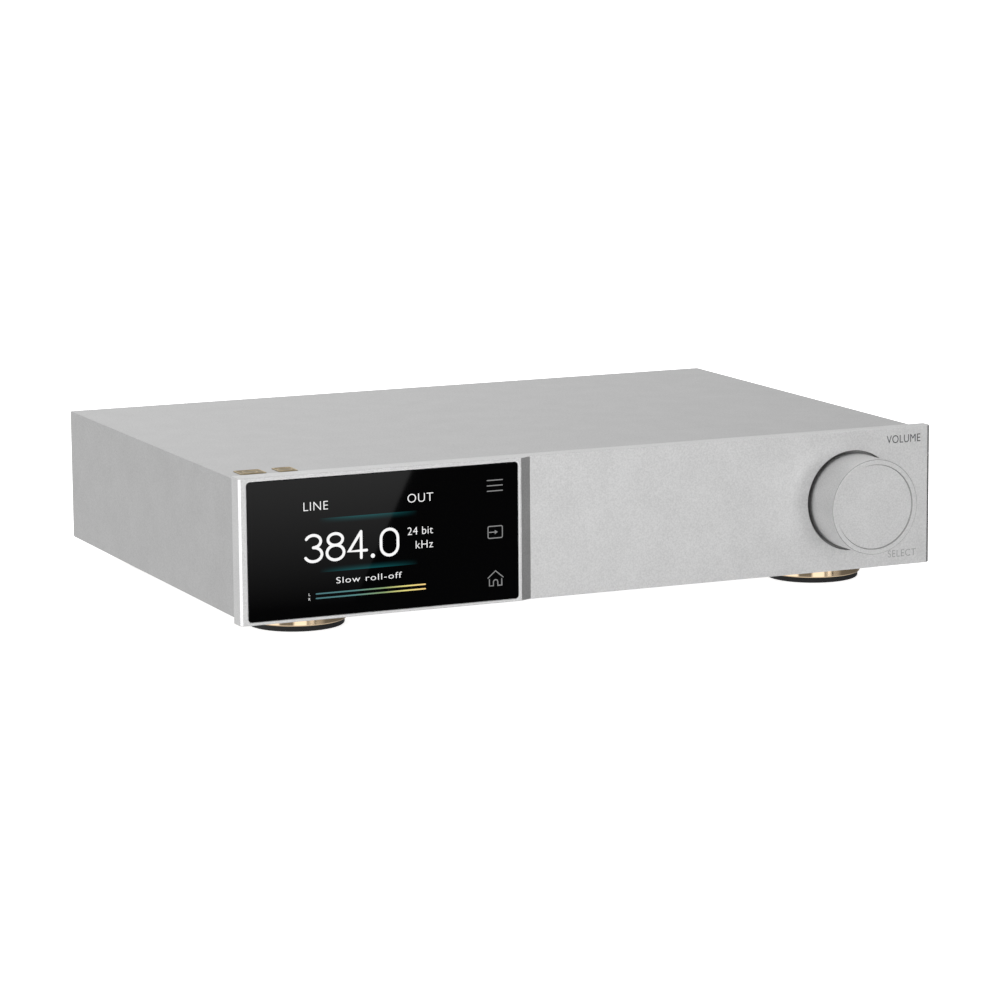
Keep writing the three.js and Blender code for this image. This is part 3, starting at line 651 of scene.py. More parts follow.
def make_front_panel():
    points, insets = panel_plan()
    small = inset(points, insets)
    low, high = PANEL_LOW.z, PANEL_HIGH.z
    body = loft([
        [(x, y, z) for x, y in outline]
        for outline, z in ((small, low), (points, low + EDGE), (points, high - EDGE), (small, high))
    ])
    mark_ends(body, 1)
    glass = glass_outline(0.1, GLASS_CORNER)
    flare = 0.6
    # The pocket's flared mouth takes the pale rim paint, a painted highlight on the bevel; its inner
    # wall takes the dark frame
    pocket = stacked([
        (grown(glass, GLASS_BEVEL + flare), BLOCK_Y - flare),
        (glass, BLOCK_Y + GLASS_BEVEL),
        (glass, BLOCK_Y + 1.2),
    ], material=2, bands=[4, 2])
    window = prism(glass_outline(-3.9, 1.0), BLOCK_Y - 1, PANEL_HIGH.y + 1, "Y", material=2)
    lip = 0.12
    # The well's wall and floor take the darker metal: painted shade in the recess
    well = lathe([
        (0, FACE_Y - 1), (RECESS_R + lip + 1, FACE_Y - 1), (RECESS_R, FACE_Y + lip),
        (RECESS_R, FACE_Y + RECESS_DEPTH), (0, FACE_Y + RECESS_DEPTH),
    ], 160, bands=[0, 0, 3, 3])
    bushing = disc(3.8, FACE_Y, PANEL_HIGH.y + 1, 32)
    round_tools = [moved(tool, KNOB_X, 0, KNOB_Z) for tool in (well, bushing)]
    panel = cut(body, pocket, window, *round_tools)
    fine("front_panel", panel, [PANEL_METAL, EDGE_METAL, DARK_FRAME, PAINTED_SHADE_METAL, RIM_HIGHLIGHT_PAINT], 20)


# ------------------------------------------------------------------ screen

SCREEN_Y = GLASS_LOW.y
INK_T = 0.02   # thickness of a lit shape or a printed one


def make_glass():
    outline = glass_outline(0.0, GLASS_CORNER - 0.1)
    fine("display_glass", prism(outline, GLASS_LOW.y, GLASS_HIGH.y, "Y", edge=0.12), SCREEN, 20)


def stroke(points, width, closed=False, cap=6):
    """A flat line of even width through (a, b) points, with round ends, as an outline or two."""
    path = [Vector(p) for p in points]
    count = len(path)
    normals = []
    for i in range(count):
        if closed:
            a, b = path[i - 1], path[(i + 1) % count]
        else:
            a, b = path[max(i - 1, 0)], path[min(i + 1, count - 1)]
        along = (b - a).normalized()
        across = Vector((-along.y, along.x))
        before = (path[i] - path[i - 1]).normalized() if (i or closed) else along
        reach = Vector((-before.y, before.x)).dot(across)
        normals.append(across / max(reach, 0.6))
    left = [p + n * width / 2 for p, n in zip(path, normals)]
    right = [p - n * width / 2 for p, n in zip(path, normals)]
    if closed:
        return left, right
    outline = list(left)
    for end, side in ((path[-1], left[-1]), (path[0], right[0])):
        start = math.atan2(side.y - end.y, side.x - end.x)
        for k in range(1, cap):
            angle = start - math.pi * k / cap
            outline.append(end + Vector((math.cos(angle), math.sin(angle))) * width / 2)
        if end is path[-1]:
            outline += right[::-1]
    return outline, None


def flat_shape(outline, inner=None, y=None, thick=INK_T):
    """A thin plate in front of the panel: an outline in XZ, or the band between two."""
    front = (SCREEN_Y if y is None else y) - thick
    back = front + thick - 0.004
    if inner is None:
        return loft([[(p[0], h, p[1]) for p in outline] for h in (front, back)])
    section = [[(o[0], front, o[1]), (i[0], front, i[1]), (i[0], back, i[1]), (o[0], back, o[1])]
               for o, i in zip(outline, inner)]
    return loft(section, closed=True)


def arc(centre, radius, start, end, steps=10):
    """Points on an arc, or on an ellipse when radius is a pair. Angles are in degrees."""
    rx, ry = radius if isinstance(radius, tuple) else (radius, radius)
    out = []
    for k in range(steps + 1):
        angle = math.radians(start + (end - start) * k / steps)
        out.append((centre[0] + rx * math.cos(angle), centre[1] + ry * math.sin(angle)))
    return out


def digit_strokes(figure, width, height):
    """Centre lines of a plain rounded figure in a width by height box: (points, closed) pairs."""
    r = width / 2
    if figure == "0":
        loop = arc((r, height - r), r, 0, 180) + arc((r, r), r, 180, 360)
        return [(loop, True)]
    if figure == "8":
        upper, lower = height * 0.2209, height * 0.2791
        high = arc((r, height - upper), (r * 0.86, upper), -90, 270, 28)[:-1]
        low = arc((r, lower), (r, lower), -90, 270, 28)[:-1]
        return [(high, True), (low, True)]
    if figure == "3":
        upper, lower = height * 0.235, height * 0.265
        high = arc((r, height - upper), (r * 0.88, upper), 155, -90, 16)
        low = arc((r, lower), (r, lower), 90, -155, 16)
        return [(high, False), (low, False)]
    if figure == "4":
        foot = (width * 0.72, 0)
        return [([(width * 0.72, height), (0, height * 0.27), (width * 1.04, height * 0.27)], False),
                ([foot, (width * 0.72, height)], False)]
    raise ValueError(figure)


def screen_point(a, b):
    return PANEL_LOW.x + a, PANEL_LOW.z + b


def lit_stroke(points, width, closed=False):
    outline, inner = stroke([screen_point(a, b) for a, b in points], width, closed)
    return flat_shape(outline, inner)


def words(text, a, b, height, face_y, align="left", weight=0.0, spacing=1.0, squeeze=1.0):
    """A flat mesh of plain lettering whose capitals are height tall, from its lower left corner."""
    curve = bpy.data.curves.new("words", "FONT")
    curve.body = text
    curve.size = 1.0
    curve.space_character = spacing
    curve.offset = weight
    curve.resolution_u = 6
    curve.extrude = 0.01
    obj = bpy.data.objects.new("words", curve)
    bpy.context.scene.collection.objects.link(obj)
    seen = obj.evaluated_get(bpy.context.evaluated_depsgraph_get())
    made = bmesh.new()
    made.from_mesh(seen.to_mesh())
    bpy.data.objects.remove(obj)
    bpy.data.curves.remove(curve)
    scale = height / 0.729
    xs = [v.co.x for v in made.verts]
    shift = {"left": min(xs), "right": max(xs), "middle": (min(xs) + max(xs)) / 2}[align]
    for v in made.verts:
        depth = -INK_T if v.co.z > 0 else -0.004
        v.co = Vector((a + (v.co.x - shift) * scale * squeeze, face_y + depth, b + v.co.y * scale))
    bmesh.ops.remove_doubles(made, verts=made.verts, dist=1e-4)
    bmesh.ops.recalc_face_normals(made, faces=made.faces)
    return made


def make_figures():
    """The large figures in the middle of the screen, with a point before the last."""
    left, bottom, height, width, weight = 22.5, 19.5, 8.7, 6.0, 0.95
    parts = []
    step = width + 1.75
    for i, figure in enumerate("384"):
        for points, closed in digit_strokes(figure, width, height):
            path = [(left + step * i + a, bottom + b) for a, b in points]
            parts.append(lit_stroke(path, weight, closed))
    dot = arc((left + 3 * step + 0.65, bottom + 0.3), weight * 0.78, 0, 360, 20)[:-1]
    parts.append(flat_shape([screen_point(a, b) for a, b in dot]))
    for points, closed in digit_strokes("0", width, height):
        path = [(left + 3 * step + 3.6 + a, bottom + b) for a, b in points]
        parts.append(lit_stroke(path, weight, closed))
    piece("screen_figures", merged(*parts), LIT_WHITE, sharp=60)


def make_screen_words():
    lines = [
        ("screen_input_word", "LINE", 22.3, 36.4, 3.1, "left", -0.012, 1.08, 1.0),
        ("screen_output_word", "OUT", 68.1, 36.4, 3.1, "right", -0.012, 1.1, 1.0),
        ("screen_depth_word", "24 bit", 67.9, 25.6, 2.75, "right", -0.008, 1.05, 1.0),
        ("screen_unit_word", "kHz", 67.9, 20.9, 2.8, "right", -0.008, 1.08, 1.0),
        ("screen_filter_words", "Slow roll-off", 45.0, 11.6, 2.15, "middle", -0.006, 1.12, 1.38),
        ("screen_left_letter", "L", 23.9, 8.25, 0.9, "middle", 0.0, 1.0, 1.0),
        ("screen_right_letter", "R", 23.9, 6.7, 0.9, "middle", 0.0, 1.0, 1.0),
    ]
    for name, text, a, b, height, *style in lines:
        x, z = screen_point(a, b)
        piece(name, words(text, x, z, height, SCREEN_Y, *style), LIT_WHITE, sharp=60)


def make_level_bars():
    bars = [lit_stroke([(BARS_X[0], b), (BARS_X[1], b)], 0.46) for b in (8.7, 7.2)]
    piece("screen_level_bars", merged(*bars), LIT_BARS, sharp=60)


def make_icons():
    weight = 0.33
    left, right = 87.6, 93.1
    menu = [lit_stroke([(left, b), (right, b)], weight) for b in (38.1, 39.9, 41.7)]
    piece("icon_menu", merged(*menu), LIT_GREY, sharp=60)

    frame_loop = rounded_rect(left + 0.15, right - 0.15, 22.2, 26.2, 0.5, 4)
    tip = [(left + 2.6, 23.5), (left + 3.7, 24.2), (left + 2.6, 24.9)]
    arrow = [
        lit_stroke(frame_loop, weight, True),
        lit_stroke([(left + 0.6, 24.2), (left + 3.1, 24.2)], weight),
        flat_shape([screen_point(a, b) for a, b in tip]),
    ]
    piece("icon_input", merged(*arrow), LIT_GREY, sharp=60)

    middle = (left + right) / 2
    roof = [(left, 8.8), (middle, 11.1), (right, 8.8)]
    walls = ([(left + 0.5, 8.3), (left + 0.5, 6.1), (middle - 0.8, 6.1), (middle - 0.8, 7.3)]
             + arc((middle, 7.3), 0.8, 180, 0, 8)[1:]
             + [(middle + 0.8, 6.1), (right - 0.5, 6.1), (right - 0.5, 8.3)])
    piece("icon_home", merged(lit_stroke(roof, weight), lit_stroke(walls, weight)), LIT_GREY, sharp=60)


def make_panel_words():
    """Two plain words on the right part: one printed above the knob and one lightly engraved below."""
    right = PANEL_HIGH.x - 3.9
    printed = words("VOLUME", right, PANEL_HIGH.z - 5.5, 2.9, FACE_Y, "right", 0.0, 1.05, 0.84)
    piece("panel_word_volume", printed, INK, sharp=60)
    engraved = words("SELECT", right - 1.5, PANEL_LOW.z + 3.0, 2.6, FACE_Y, "right", -0.006, 1.1, 0.9)
    piece("panel_word_select", engraved, ENGRAVED, sharp=60)


# ------------------------------------------------------------------ volume knob

def make_knob():
    low, high = KNOB_LOW.y, KNOB_HIGH.y
    radius = KNOB_HIGH.x - KNOB_X
    dish = radius - KNOB_RIM
    bore, shaft_bore = 9, 5.2
    profile = softened([
        (0, low + KNOB_DISH, 0),
        (dish - 0.3, low + KNOB_DISH, 0.1),
        (dish, low, 0.08),
        (radius - 0.22, low, 0.08),
        (radius, low + 0.22, 0.08),
        (radius, high, 0.2),
        (bore, high, 0.2),
        (bore, high - 4.9, 0),
        (shaft_bore, high - 4.9, 0),
        (shaft_bore, high - 12.9, 0),
        (0, high - 12.9, 0),
    ], 4)
    # The outer chamfer and the step down to the dish take the darker metal, painted shade that draws two
    # fine lines
    bands = []
    for (near, front), (far, back) in zip(profile, profile[1:]):
        out, along = (near + far) / 2, (front + back) / 2
        on_chamfer = out > radius - 0.21 and along < low + 0.21
        in_step = dish - 0.25 < out < dish + 0.02 and along > low + 0.05
        bands.append(1 if on_chamfer or in_step else 0)
    made = moved(lathe(profile, 192, bands=bands), KNOB_X, 0, KNOB_Z)
    fine("volume_knob", made, [PANEL_METAL, PAINTED_SHADE_METAL], 24, KNOB)


# ------------------------------------------------------------------ case

def make_cover():
    low, high = box_mm("top_cover")
    r = COVER_CORNER
    outer = softened([
        (low.x, low.z, 0), (high.x, low.z, 0), (high.x, high.z, r), (low.x, high.z, r),
    ], 6)
    room = rounded_rect(low.x + WALL, high.x - WALL, low.z - 9, high.z - WALL, 0.3, 3)
    shell = prism(outer, low.y, high.y, "Y", edge=0.12)
    fine("top_cover", cut(shell, prism(room, low.y - 1, high.y + 1, "Y")), ALUMINIUM)


def make_badges():
    """Two foil badges: a raised border, with a fine ring and four stripes on a plain field."""
    for name in ("badge_left", "badge_right"):
        low, high = box_mm(name)
        foot, top = high.z - 0.08, high.z
        sheet = rounded_rect(low.x, high.x, low.y, high.y, 0.9)
        field = prism(sheet, low.z - 0.02, high.z - 0.07, edge=0.04)
        outer, inner = (
            rounded_rect(low.x + margin, high.x - margin, low.y + margin, high.y - margin, radius)
            for margin, radius in ((0.1, 0.8), (0.6, 0.5))
        )
        border = loft([
            [(*o, foot), (*o, top), (*i, top), (*i, foot)] for o, i in zip(outer, inner)
        ], closed=True)
        mid_x, mid_y, _ = middle_of(low, high)
        section = [(2.2, foot, 0), (2.6, foot, 0), (2.6, top, 0.02), (2.2, top, 0.02)]
        emblem = ring(section, 48, "Z")
        stripes = []
        for k in (-3, -2, 2, 3):
            at = mid_y + 1.25 * k
            line = rounded_rect(low.x + 1.3, high.x - 1.3, at - 0.14, at + 0.14, 0.1, 3)
            stripes.append(prism(line, foot, top))
        made = merged(tinted(field, 1), border, moved(emblem, mid_x, mid_y), *stripes)
        fine(name, made, [FOIL, FOIL_FIELD])


def make_feet():
    for spot in ("front_left", "front_right", "rear_left", "rear_right"):
        low, high = box_mm("foot_ring_" + spot)
        x, y, _ = middle_of(low, high)
        r = (high.x - low.x) / 2
        pad_low, pad_high = box_mm("foot_pad_" + spot)
        pad_r = (pad_high.x - pad_low.x) / 2
        floor = low.z + 3.7
        section = [
            (4.2, low.z + 1.2, 0), (pad_r + 0.2, low.z + 1.2, 0), (pad_r + 0.2, low.z, 0.15),
            (r, low.z, 0.45), (r, high.z, 0.3), (2.2, high.z, 0), (2.2, floor, 0), (4.2, floor, 0),
        ]
        metal = moved(ring(section, 144, "Z", 5), x, y)
        fine("foot_ring_" + spot, metal, CHAMPAGNE, name="foot_ring_fine_" + spot)
        hollow = pad_low.z + 0.35
        rubber = turned([
            (0, hollow, 0), (pad_r - 3.2, hollow, 0.2), (pad_r - 2.6, pad_low.z, 0.2),
            (pad_r, pad_low.z, 0.5), (pad_r, pad_high.z, 0.2), (0, pad_high.z, 0),
        ], 96, "Z", 4)
        fine("foot_pad_" + spot, moved(rubber, x, y), RUBBER, 40, name="foot_pad_fine_" + spot)


# ------------------------------------------------------------------ rear panel and sockets

REAR_Y = box_mm("rear_panel")[1].y
GAP = 0.3   # clearance between a socket and its hole
REAR_SCREWS = [f"rear_screw_{k}" for k in range(1, 5)]


def socket_at(node):
    """Where a socket stands on the rear panel: the middle of its node in x and z."""
    x, _, z = middle_of(*box_mm(node))
    return x, REAR_Y, z


def socket(node, made, materials):
    """A finer socket, drawn about its own axis at the rear panel's plane."""
    fine(node, moved(made, *socket_at(node)), materials)


def round_hole(radius, lip=0.25):
    """A cutting tool with a flared mouth, for a hole with a chamfered rim."""
    return lathe([(0, -4), (radius, -4), (radius, -lip), (radius + lip + 1, 1), (0, 1)], 96)


def square_hole(half_x, half_z, radius=0.4, lip=0.2):
    outline = rounded_rect(-half_x, half_x, -half_z, half_z, radius, 4)
    return stacked([(outline, -4), (outline, -lip), (grown(outline, 1 + lip), 1)])


def hexagon(radius):
    angles = [math.radians(60 * k + 30) for k in range(6)]
    return [(radius * math.cos(angle), radius * math.sin(angle)) for angle in angles]


def hex_nut(radius, low, high, bore):
    """A nut with turned, rounded corners and a bore."""
    body = prism(hexagon(radius), low, high, "Y")
    crown = lathe([
        (0, low - 1), (radius + 1, low - 1), (radius + 1, high - 0.7), (radius * 0.9, high),
        (radius * 0.9, high + 1), (0, high + 1),
    ], 72)
    return cut(boolean(body, [crown], "INTERSECT"), disc(bore, low - 2, high + 2))


def thread(radius, low, high, pitch=0.6, depth=0.22):
    """The section of a fine external thread, as (radius, height) points from low to high."""
    points = []
    turns = int((high - low) / pitch)
    for k in range(turns):
        start = low + k * pitch
        points += [(radius - depth, start), (radius, start + pitch * 0.5)]
    return points + [(radius - depth, low + turns * pitch)]


def cross_screw(radius=1.9, height=0.9):
    """A small pan-head screw whose head has a cross recess, drawn at its seat."""
    head = turned([
        (0, 0, 0), (radius, 0, 0.1), (radius, height * 0.45, 0.25), (radius * 0.6, height, 0.5),
        (0, height, 0),
    ], 40)
    slots = []
    for wide, deep in ((radius * 0.55, 0.17), (0.17, radius * 0.55)):
        mouth = [(-wide, -deep), (wide, -deep), (wide, deep), (-wide, deep)]
        bottom = [(a / 2, b / 2) for a, b in mouth]
        slots.append(stacked([(bottom, height - 0.65), (mouth, height + 0.3)]))
    return cut(head, *slots)


def hex_screw():
    """A button screw with a hexagon socket."""
    body = turned([
        (0, -9, 0), (1.25, -9, 0.1), (1.25, 0.1, 0), (2.8, 0.1, 0.1), (2.8, 0.9, 0.35),
        (2.1, 1.65, 0.3), (0, 1.65, 0),
    ], 64)
    return cut(body, prism(hexagon(1.25), 0.7, 2.5, "Y"))


def make_rear_panel():
    low, high = box_mm("rear_panel")
    plan = rounded_rect(low.x, high.x, low.z, high.z, 0.3, 3)
    plate = prism(plan, low.y, high.y, "Y", edge=0.25)
    shell = join(round_hole(12 + GAP), moved(square_hole(4.3, 2.4), 0, 0, 11.3))
    tools = [
        ("balanced_out_right", round_hole(12 + GAP)),
        ("balanced_out_left", round_hole(12 + GAP)),
        ("balanced_digital_in", shell),
        ("phono_out_right", round_hole(5.2 + GAP)),
        ("phono_out_left", round_hole(5.2 + GAP)),
        ("coaxial_in", round_hole(5.2 + GAP)),
        ("optical_in", square_hole(4.9 + GAP, 5.2 + GAP)),
        ("link_port", square_hole(7.7 + GAP, 3 + GAP)),
        ("computer_port", square_hole(6.2 + GAP, 5.7 + GAP)),
        ("antenna_socket", round_hole(2.6 + GAP)),
        ("trigger_jack", round_hole(3 + GAP)),
        ("mains_inlet", square_hole(27 + GAP, 13.2 + GAP)),
    ]
    tools += [(node, round_hole(1.7)) for node in REAR_SCREWS]
    placed = [moved(tool, *socket_at(node)) for node, tool in tools]
    fine("rear_panel", cut(plate, *placed), ALUMINIUM, 25)


def make_rear_words():
    """Plain printed labels. They read from behind, so they are turned about the upright axis."""
    labels = [
        ("L", 59.4, 40, 2.0), ("R", 59.4, 22, 2.0), ("LINE OUT", 52, 48.6, 1.7),
        ("L", 62.3, 47.2, 2.0), ("R", 90, 47.2, 2.0), ("COAX", 34, 48.6, 1.7),
        ("OPTICAL", 34, 13.2, 1.7), ("DIGITAL IN", 9, 48.6, 1.7), ("LINK", -16, 45.2, 1.7),
        ("COMPUTER", -16, 13.2, 1.7), ("ANTENNA", -36, 47.2, 1.7), ("TRIGGER", -36, 14.8, 1.7),
        ("POWER", -114.5, 48.6, 1.7),
    ]
    for index, (text, x, z, height) in enumerate(labels):
        made = words(text, 0, 0, height, 0, "middle", 0.002, 1.08)
        made.transform(Matrix.Rotation(math.pi, 4, "Z"))
        moved(made, x, REAR_Y, z - height / 2)
        piece(f"rear_label_{index + 1}", made, INK, sharp=60)


def make_phono(node, insulator):
    """A gold phono jack: nut, washer, grooved barrel, coloured insulator and sprung contact."""
    reach = box_mm(node)[1].y - REAR_Y
    washer = ring([(4.3, 0.15, 0), (6.6, 0.15, 0.1), (6.6, 0.7, 0.15), (4.3, 0.7, 0)], 72)
    nut = hex_nut(6.3, 0.7, 2.3, 4.2)
    barrel = lathe([
        (3.4, -11.5), (5.1, -11.5), (5.1, -0.2), (4.15, -0.2), (4.15, 2.6), (3.95, 2.8), (3.95, 3.3),
        (4.15, 3.5), (4.15, reach - 0.5), (4.05, reach - 0.2), (3.85, reach), (3.5, reach),
        (3.4, reach - 0.15),
    ], 96, closed=True)
    core = turned([
        (0, -11.5, 0), (3.38, -11.5, 0), (3.38, reach - 0.7, 0.25), (1.9, reach - 0.7, 0.2),
        (1.9, reach - 1.3, 0), (0, reach - 1.3, 0),
    ], 72)
    contact = ring([
        (1.25, reach - 6, 0), (1.7, reach - 6, 0), (1.7, reach - 1.0, 0.15), (1.25, reach - 1.0, 0.1),
    ], 48)
    bore = disc(1.6, reach - 5, reach)
    made = merged(washer, nut, barrel, cut(tinted(core, 1), bore), contact)
    socket(node, made, [GOLD, insulator])


def balanced_flange():
    """The flat die-cast face that both kinds of balanced socket share, and what is cut from it."""
    face = slab(-12.5, 12.5, -14.5, 14.5, 3, 8, 0.2, 2.0, 0.3)
    rear = disc(12, -15, 0.6, 96)
    mouth = lathe([(0, -13), (9.7, -13), (9.7, 1.6), (10.1, 2.0), (11, 2.9), (0, 2.9)], 96)
    seats = [moved(disc(2.3, 1.3, 3), 9.6 * side, 0, 11.6 * side) for side in (-1, 1)]
    return join(face, rear), mouth, seats


def flange_screws():
    return [moved(tinted(cross_screw(), 3), 9.6 * side, 1.25, 11.6 * side) for side in (-1, 1)]


PINS = ((-4.1, 2), (4.1, 2), (0, -4.6))
BALANCED_METALS = [NICKEL, PLASTIC, GOLD, BLACK_STEEL]


def make_balanced_out(node):
    body, mouth, seats = balanced_flange()
    shell = cut(body, mouth, *seats)
    parts = [shell, *flange_screws()]
    parts.append(tinted(disc(9.6, -13.1, -12.2, 72, 0.3), 1))
    for x, z in PINS:
        parts.append(moved(tinted(disc(1.2, -14, -2, 32, 0.7), 2), x, 0, z))
        parts.append(moved(tinted(disc(2.0, -12.4, -11.6, 40, 0.2), 1), x, 0, z))
    parts.append(tinted(slab(-1.0, 1.0, 7.4, 9.68, 0.4, 4, -12.3, -1.5, 0.2), 1))
    socket(node, merged(*parts), BALANCED_METALS)


def make_balanced_in(node):
    """Three sprung holes in a black insert, with the latch's window above it."""
    body, mouth, seats = balanced_flange()
    window = slab(-4, 4, 10.2, 13.4, 0.4, 3, -6, 4)
    parts = [cut(body, mouth, window, *seats), *flange_screws()]
    insert = tinted(disc(7.9, -13.1, 0.8, 96, 0.5), 1)
    holes = []
    for x, z in PINS:
        hole = lathe([(0, -10), (1.35, -10), (1.35, 0.4), (2.2, 1.2), (0, 1.2)], 32)
        holes.append(moved(hole, x, 0, z))
        lining = ring([(1.2, -9, 0), (1.34, -9, 0), (1.34, -0.6, 0.03), (1.2, -0.6, 0.03)], 32)
        parts.append(moved(tinted(lining, 2), x, 0, z))
    notch = slab(-1.1, 1.1, 6.6, 9.0, 0.3, 3, -9, 2)
    parts.append(cut(insert, notch, *holes))
    parts.append(tinted(disc(9.6, -13.1, -11.0, 72, 0.2), 1))
    # The node's own box reaches up for the latch, so the height comes from the socket beside it
    x, y, _ = socket_at(node)
    _, _, z = socket_at("balanced_out_left")
    fine(node, moved(merged(*parts), x, y, z), BALANCED_METALS)

    low, high = box_mm("balanced_latch")
    tab = slab(low.x, high.x, low.z, high.z, 0.5, 4, low.y, high.y, 0.35)
    grooves = []
    for k in range(3):
        z = low.z + 0.75 + 0.55 * k
        groove = slab(low.x + 0.9, high.x - 0.9, z, z + 0.22, 0.1, 2, high.y - 0.15, high.y + 1)
        grooves.append(groove)
    fine("balanced_latch", cut(tab, *grooves), STEEL, body="latch")


def make_optical():
    face = slab(-5.7, 5.7, -6, 6, 0.8, 4, 0.2, 1.4, 0.25)
    rear = slab(-4.9, 4.9, -5.2, 5.2, 0.3, 3, -12, 0.5)
    mouth = rounded_rect(-3.5, 3.5, -3.7, 4.0, 0.35, 3)
    hollow = stacked([(mouth, -9.5), (mouth, 0.9), (grown(mouth, 1.1), 2.0)])
    socket("optical_in", cut(join(face, rear), hollow), PLASTIC)

    low, high = box_mm("optical_flap")
    hinge = (low.y + high.y) / 2
    leaf = slab(low.x, high.x, low.z, high.z - 0.5, 0.3, 3, low.y + 0.15, high.y - 0.15, 0.1)
    knuckle = lathe([
        (0, low.x), (0.45, low.x), (0.5, low.x + 0.05), (0.5, high.x - 0.05), (0.45, high.x),
        (0, high.x),
    ], 32, "X")
    rib = slab(low.x + 0.8, high.x - 0.8, low.z + 0.8, high.z - 2.2, 0.4, 3,
               high.y - 0.3, high.y + 0.02, 0.08)
    made = join(leaf, moved(knuckle, 0, hinge, high.z - 0.5), rib)
    fine("optical_flap", made, SHINY_PLASTIC, body="flap")


def folded_shell(outer, mouth, front, back, depth):
    """A thin steel shell: an outer block with rounded corners and a mouth whose rim is rolled in."""
    block = prism(outer, back, front, "Y", edge=0.25)
    hollow = stacked([
        (mouth, depth), (mouth, front - 0.35), (grown(mouth, 0.25), front - 0.05),
        (grown(mouth, 0.9), front + 0.9),
    ])
    return cut(block, hollow)


def make_ports():
    outer = rounded_rect(-6.2, 6.2, -5.7, 5.7, 0.7, 4)
    corners = [(-4.3, -4), (4.3, -4), (4.3, 2.4), (2.8, 4), (-2.8, 4), (-4.3, 2.4)]
    mouth = softened([(a, b, 0.3) for a, b in corners], 3)
    parts = [folded_shell(outer, mouth, 0.9, -14, -10)]
    parts.append(tinted(slab(-2.8, 2.8, -1.6, 1.6, 0.3, 3, -11, -1, 0.25), 1))
    for x in (-1.25, 1.25):
        for z in (-1.62, 1.62):
            low, high = sorted((z, z * 0.9))
            contact = slab(x - 0.45, x + 0.45, low, high, 0.05, 2, -9.5, -1.5)
            parts.append(tinted(contact, 2))
    socket("computer_port", merged(*parts), [STEEL, WHITE_PLASTIC, GOLD])

    outer = rounded_rect(-7.7, 7.7, -3, 3, 0.7, 4)
    corners = [(-5.6, -2.3), (5.6, -2.3), (7, -0.8), (7, 2.3), (-7, 2.3), (-7, -0.8)]
    mouth = softened([(a, b, 0.3) for a, b in corners], 3)
    parts = [folded_shell(outer, mouth, 0.8, -11, -8.5)]
    parts.append(tinted(slab(-5.4, 5.4, 0.1, 1.1, 0.15, 2, -9.5, -1, 0.15), 1))
    for k in range(10):
        x = -4.5 + k
        contact = slab(x - 0.2, x + 0.2, 0.02, 0.14, 0.03, 2, -8.3, -1.6)
        parts.append(tinted(contact, 2))
    socket("link_port", merged(*parts), [STEEL, PLASTIC, GOLD])


def make_small_jacks():
    body = lathe([
        (1.8, -11), (4.5, -11), (4.5, -2.3), (2.9, -2.3), (2.9, 0.2), (4.1, 0.2), (4.1, 1.4),
        (3.8, 1.8), (2.1, 1.8), (1.8, 1.5),
    ], 72, closed=True)
    lining = ring([(1.66, -8, 0), (1.8, -8, 0), (1.8, 0.9, 0), (1.66, 0.9, 0.03)], 48)
    made = merged(body, disc(4.4, -12.5, -10.9), tinted(lining, 1))
    socket("trigger_jack", made, [PLASTIC, NICKEL])

    barrel = lathe([
        (2.5, -8), (2.6, 0.9), *thread(3.1, 2.4, 8.7), (2.75, 8.95), (2.7, 9.3), (2.3, 9.3),
        (2.2, 8.0), (2.2, -8),
    ], 72, closed=True)
    nut = hex_nut(4.7, 0.2, 2.2, 3.05)
    core = tinted(disc(2.18, -8, 8.2, 48, 0.1), 1)
    pin = ring([(0.45, 4.8, 0), (0.82, 4.8, 0), (0.82, 8.35, 0.1), (0.45, 8.35, 0.08)], 32)
    made = merged(barrel, nut, cut(core, disc(0.85, 5, 9, 32)), pin)
    socket("antenna_socket", made, [GOLD, WHITE_PLASTIC])


# Where the inlet, the fuse drawer and the rocker are across the mains block
INLET_X = 14.5
DRAWER_X = -4.3
ROCKER_X = -18.6
ROCKER_TILT = math.radians(8)
WELL_HALF = 10.7   # half the height of the drawer's and the rocker's wells


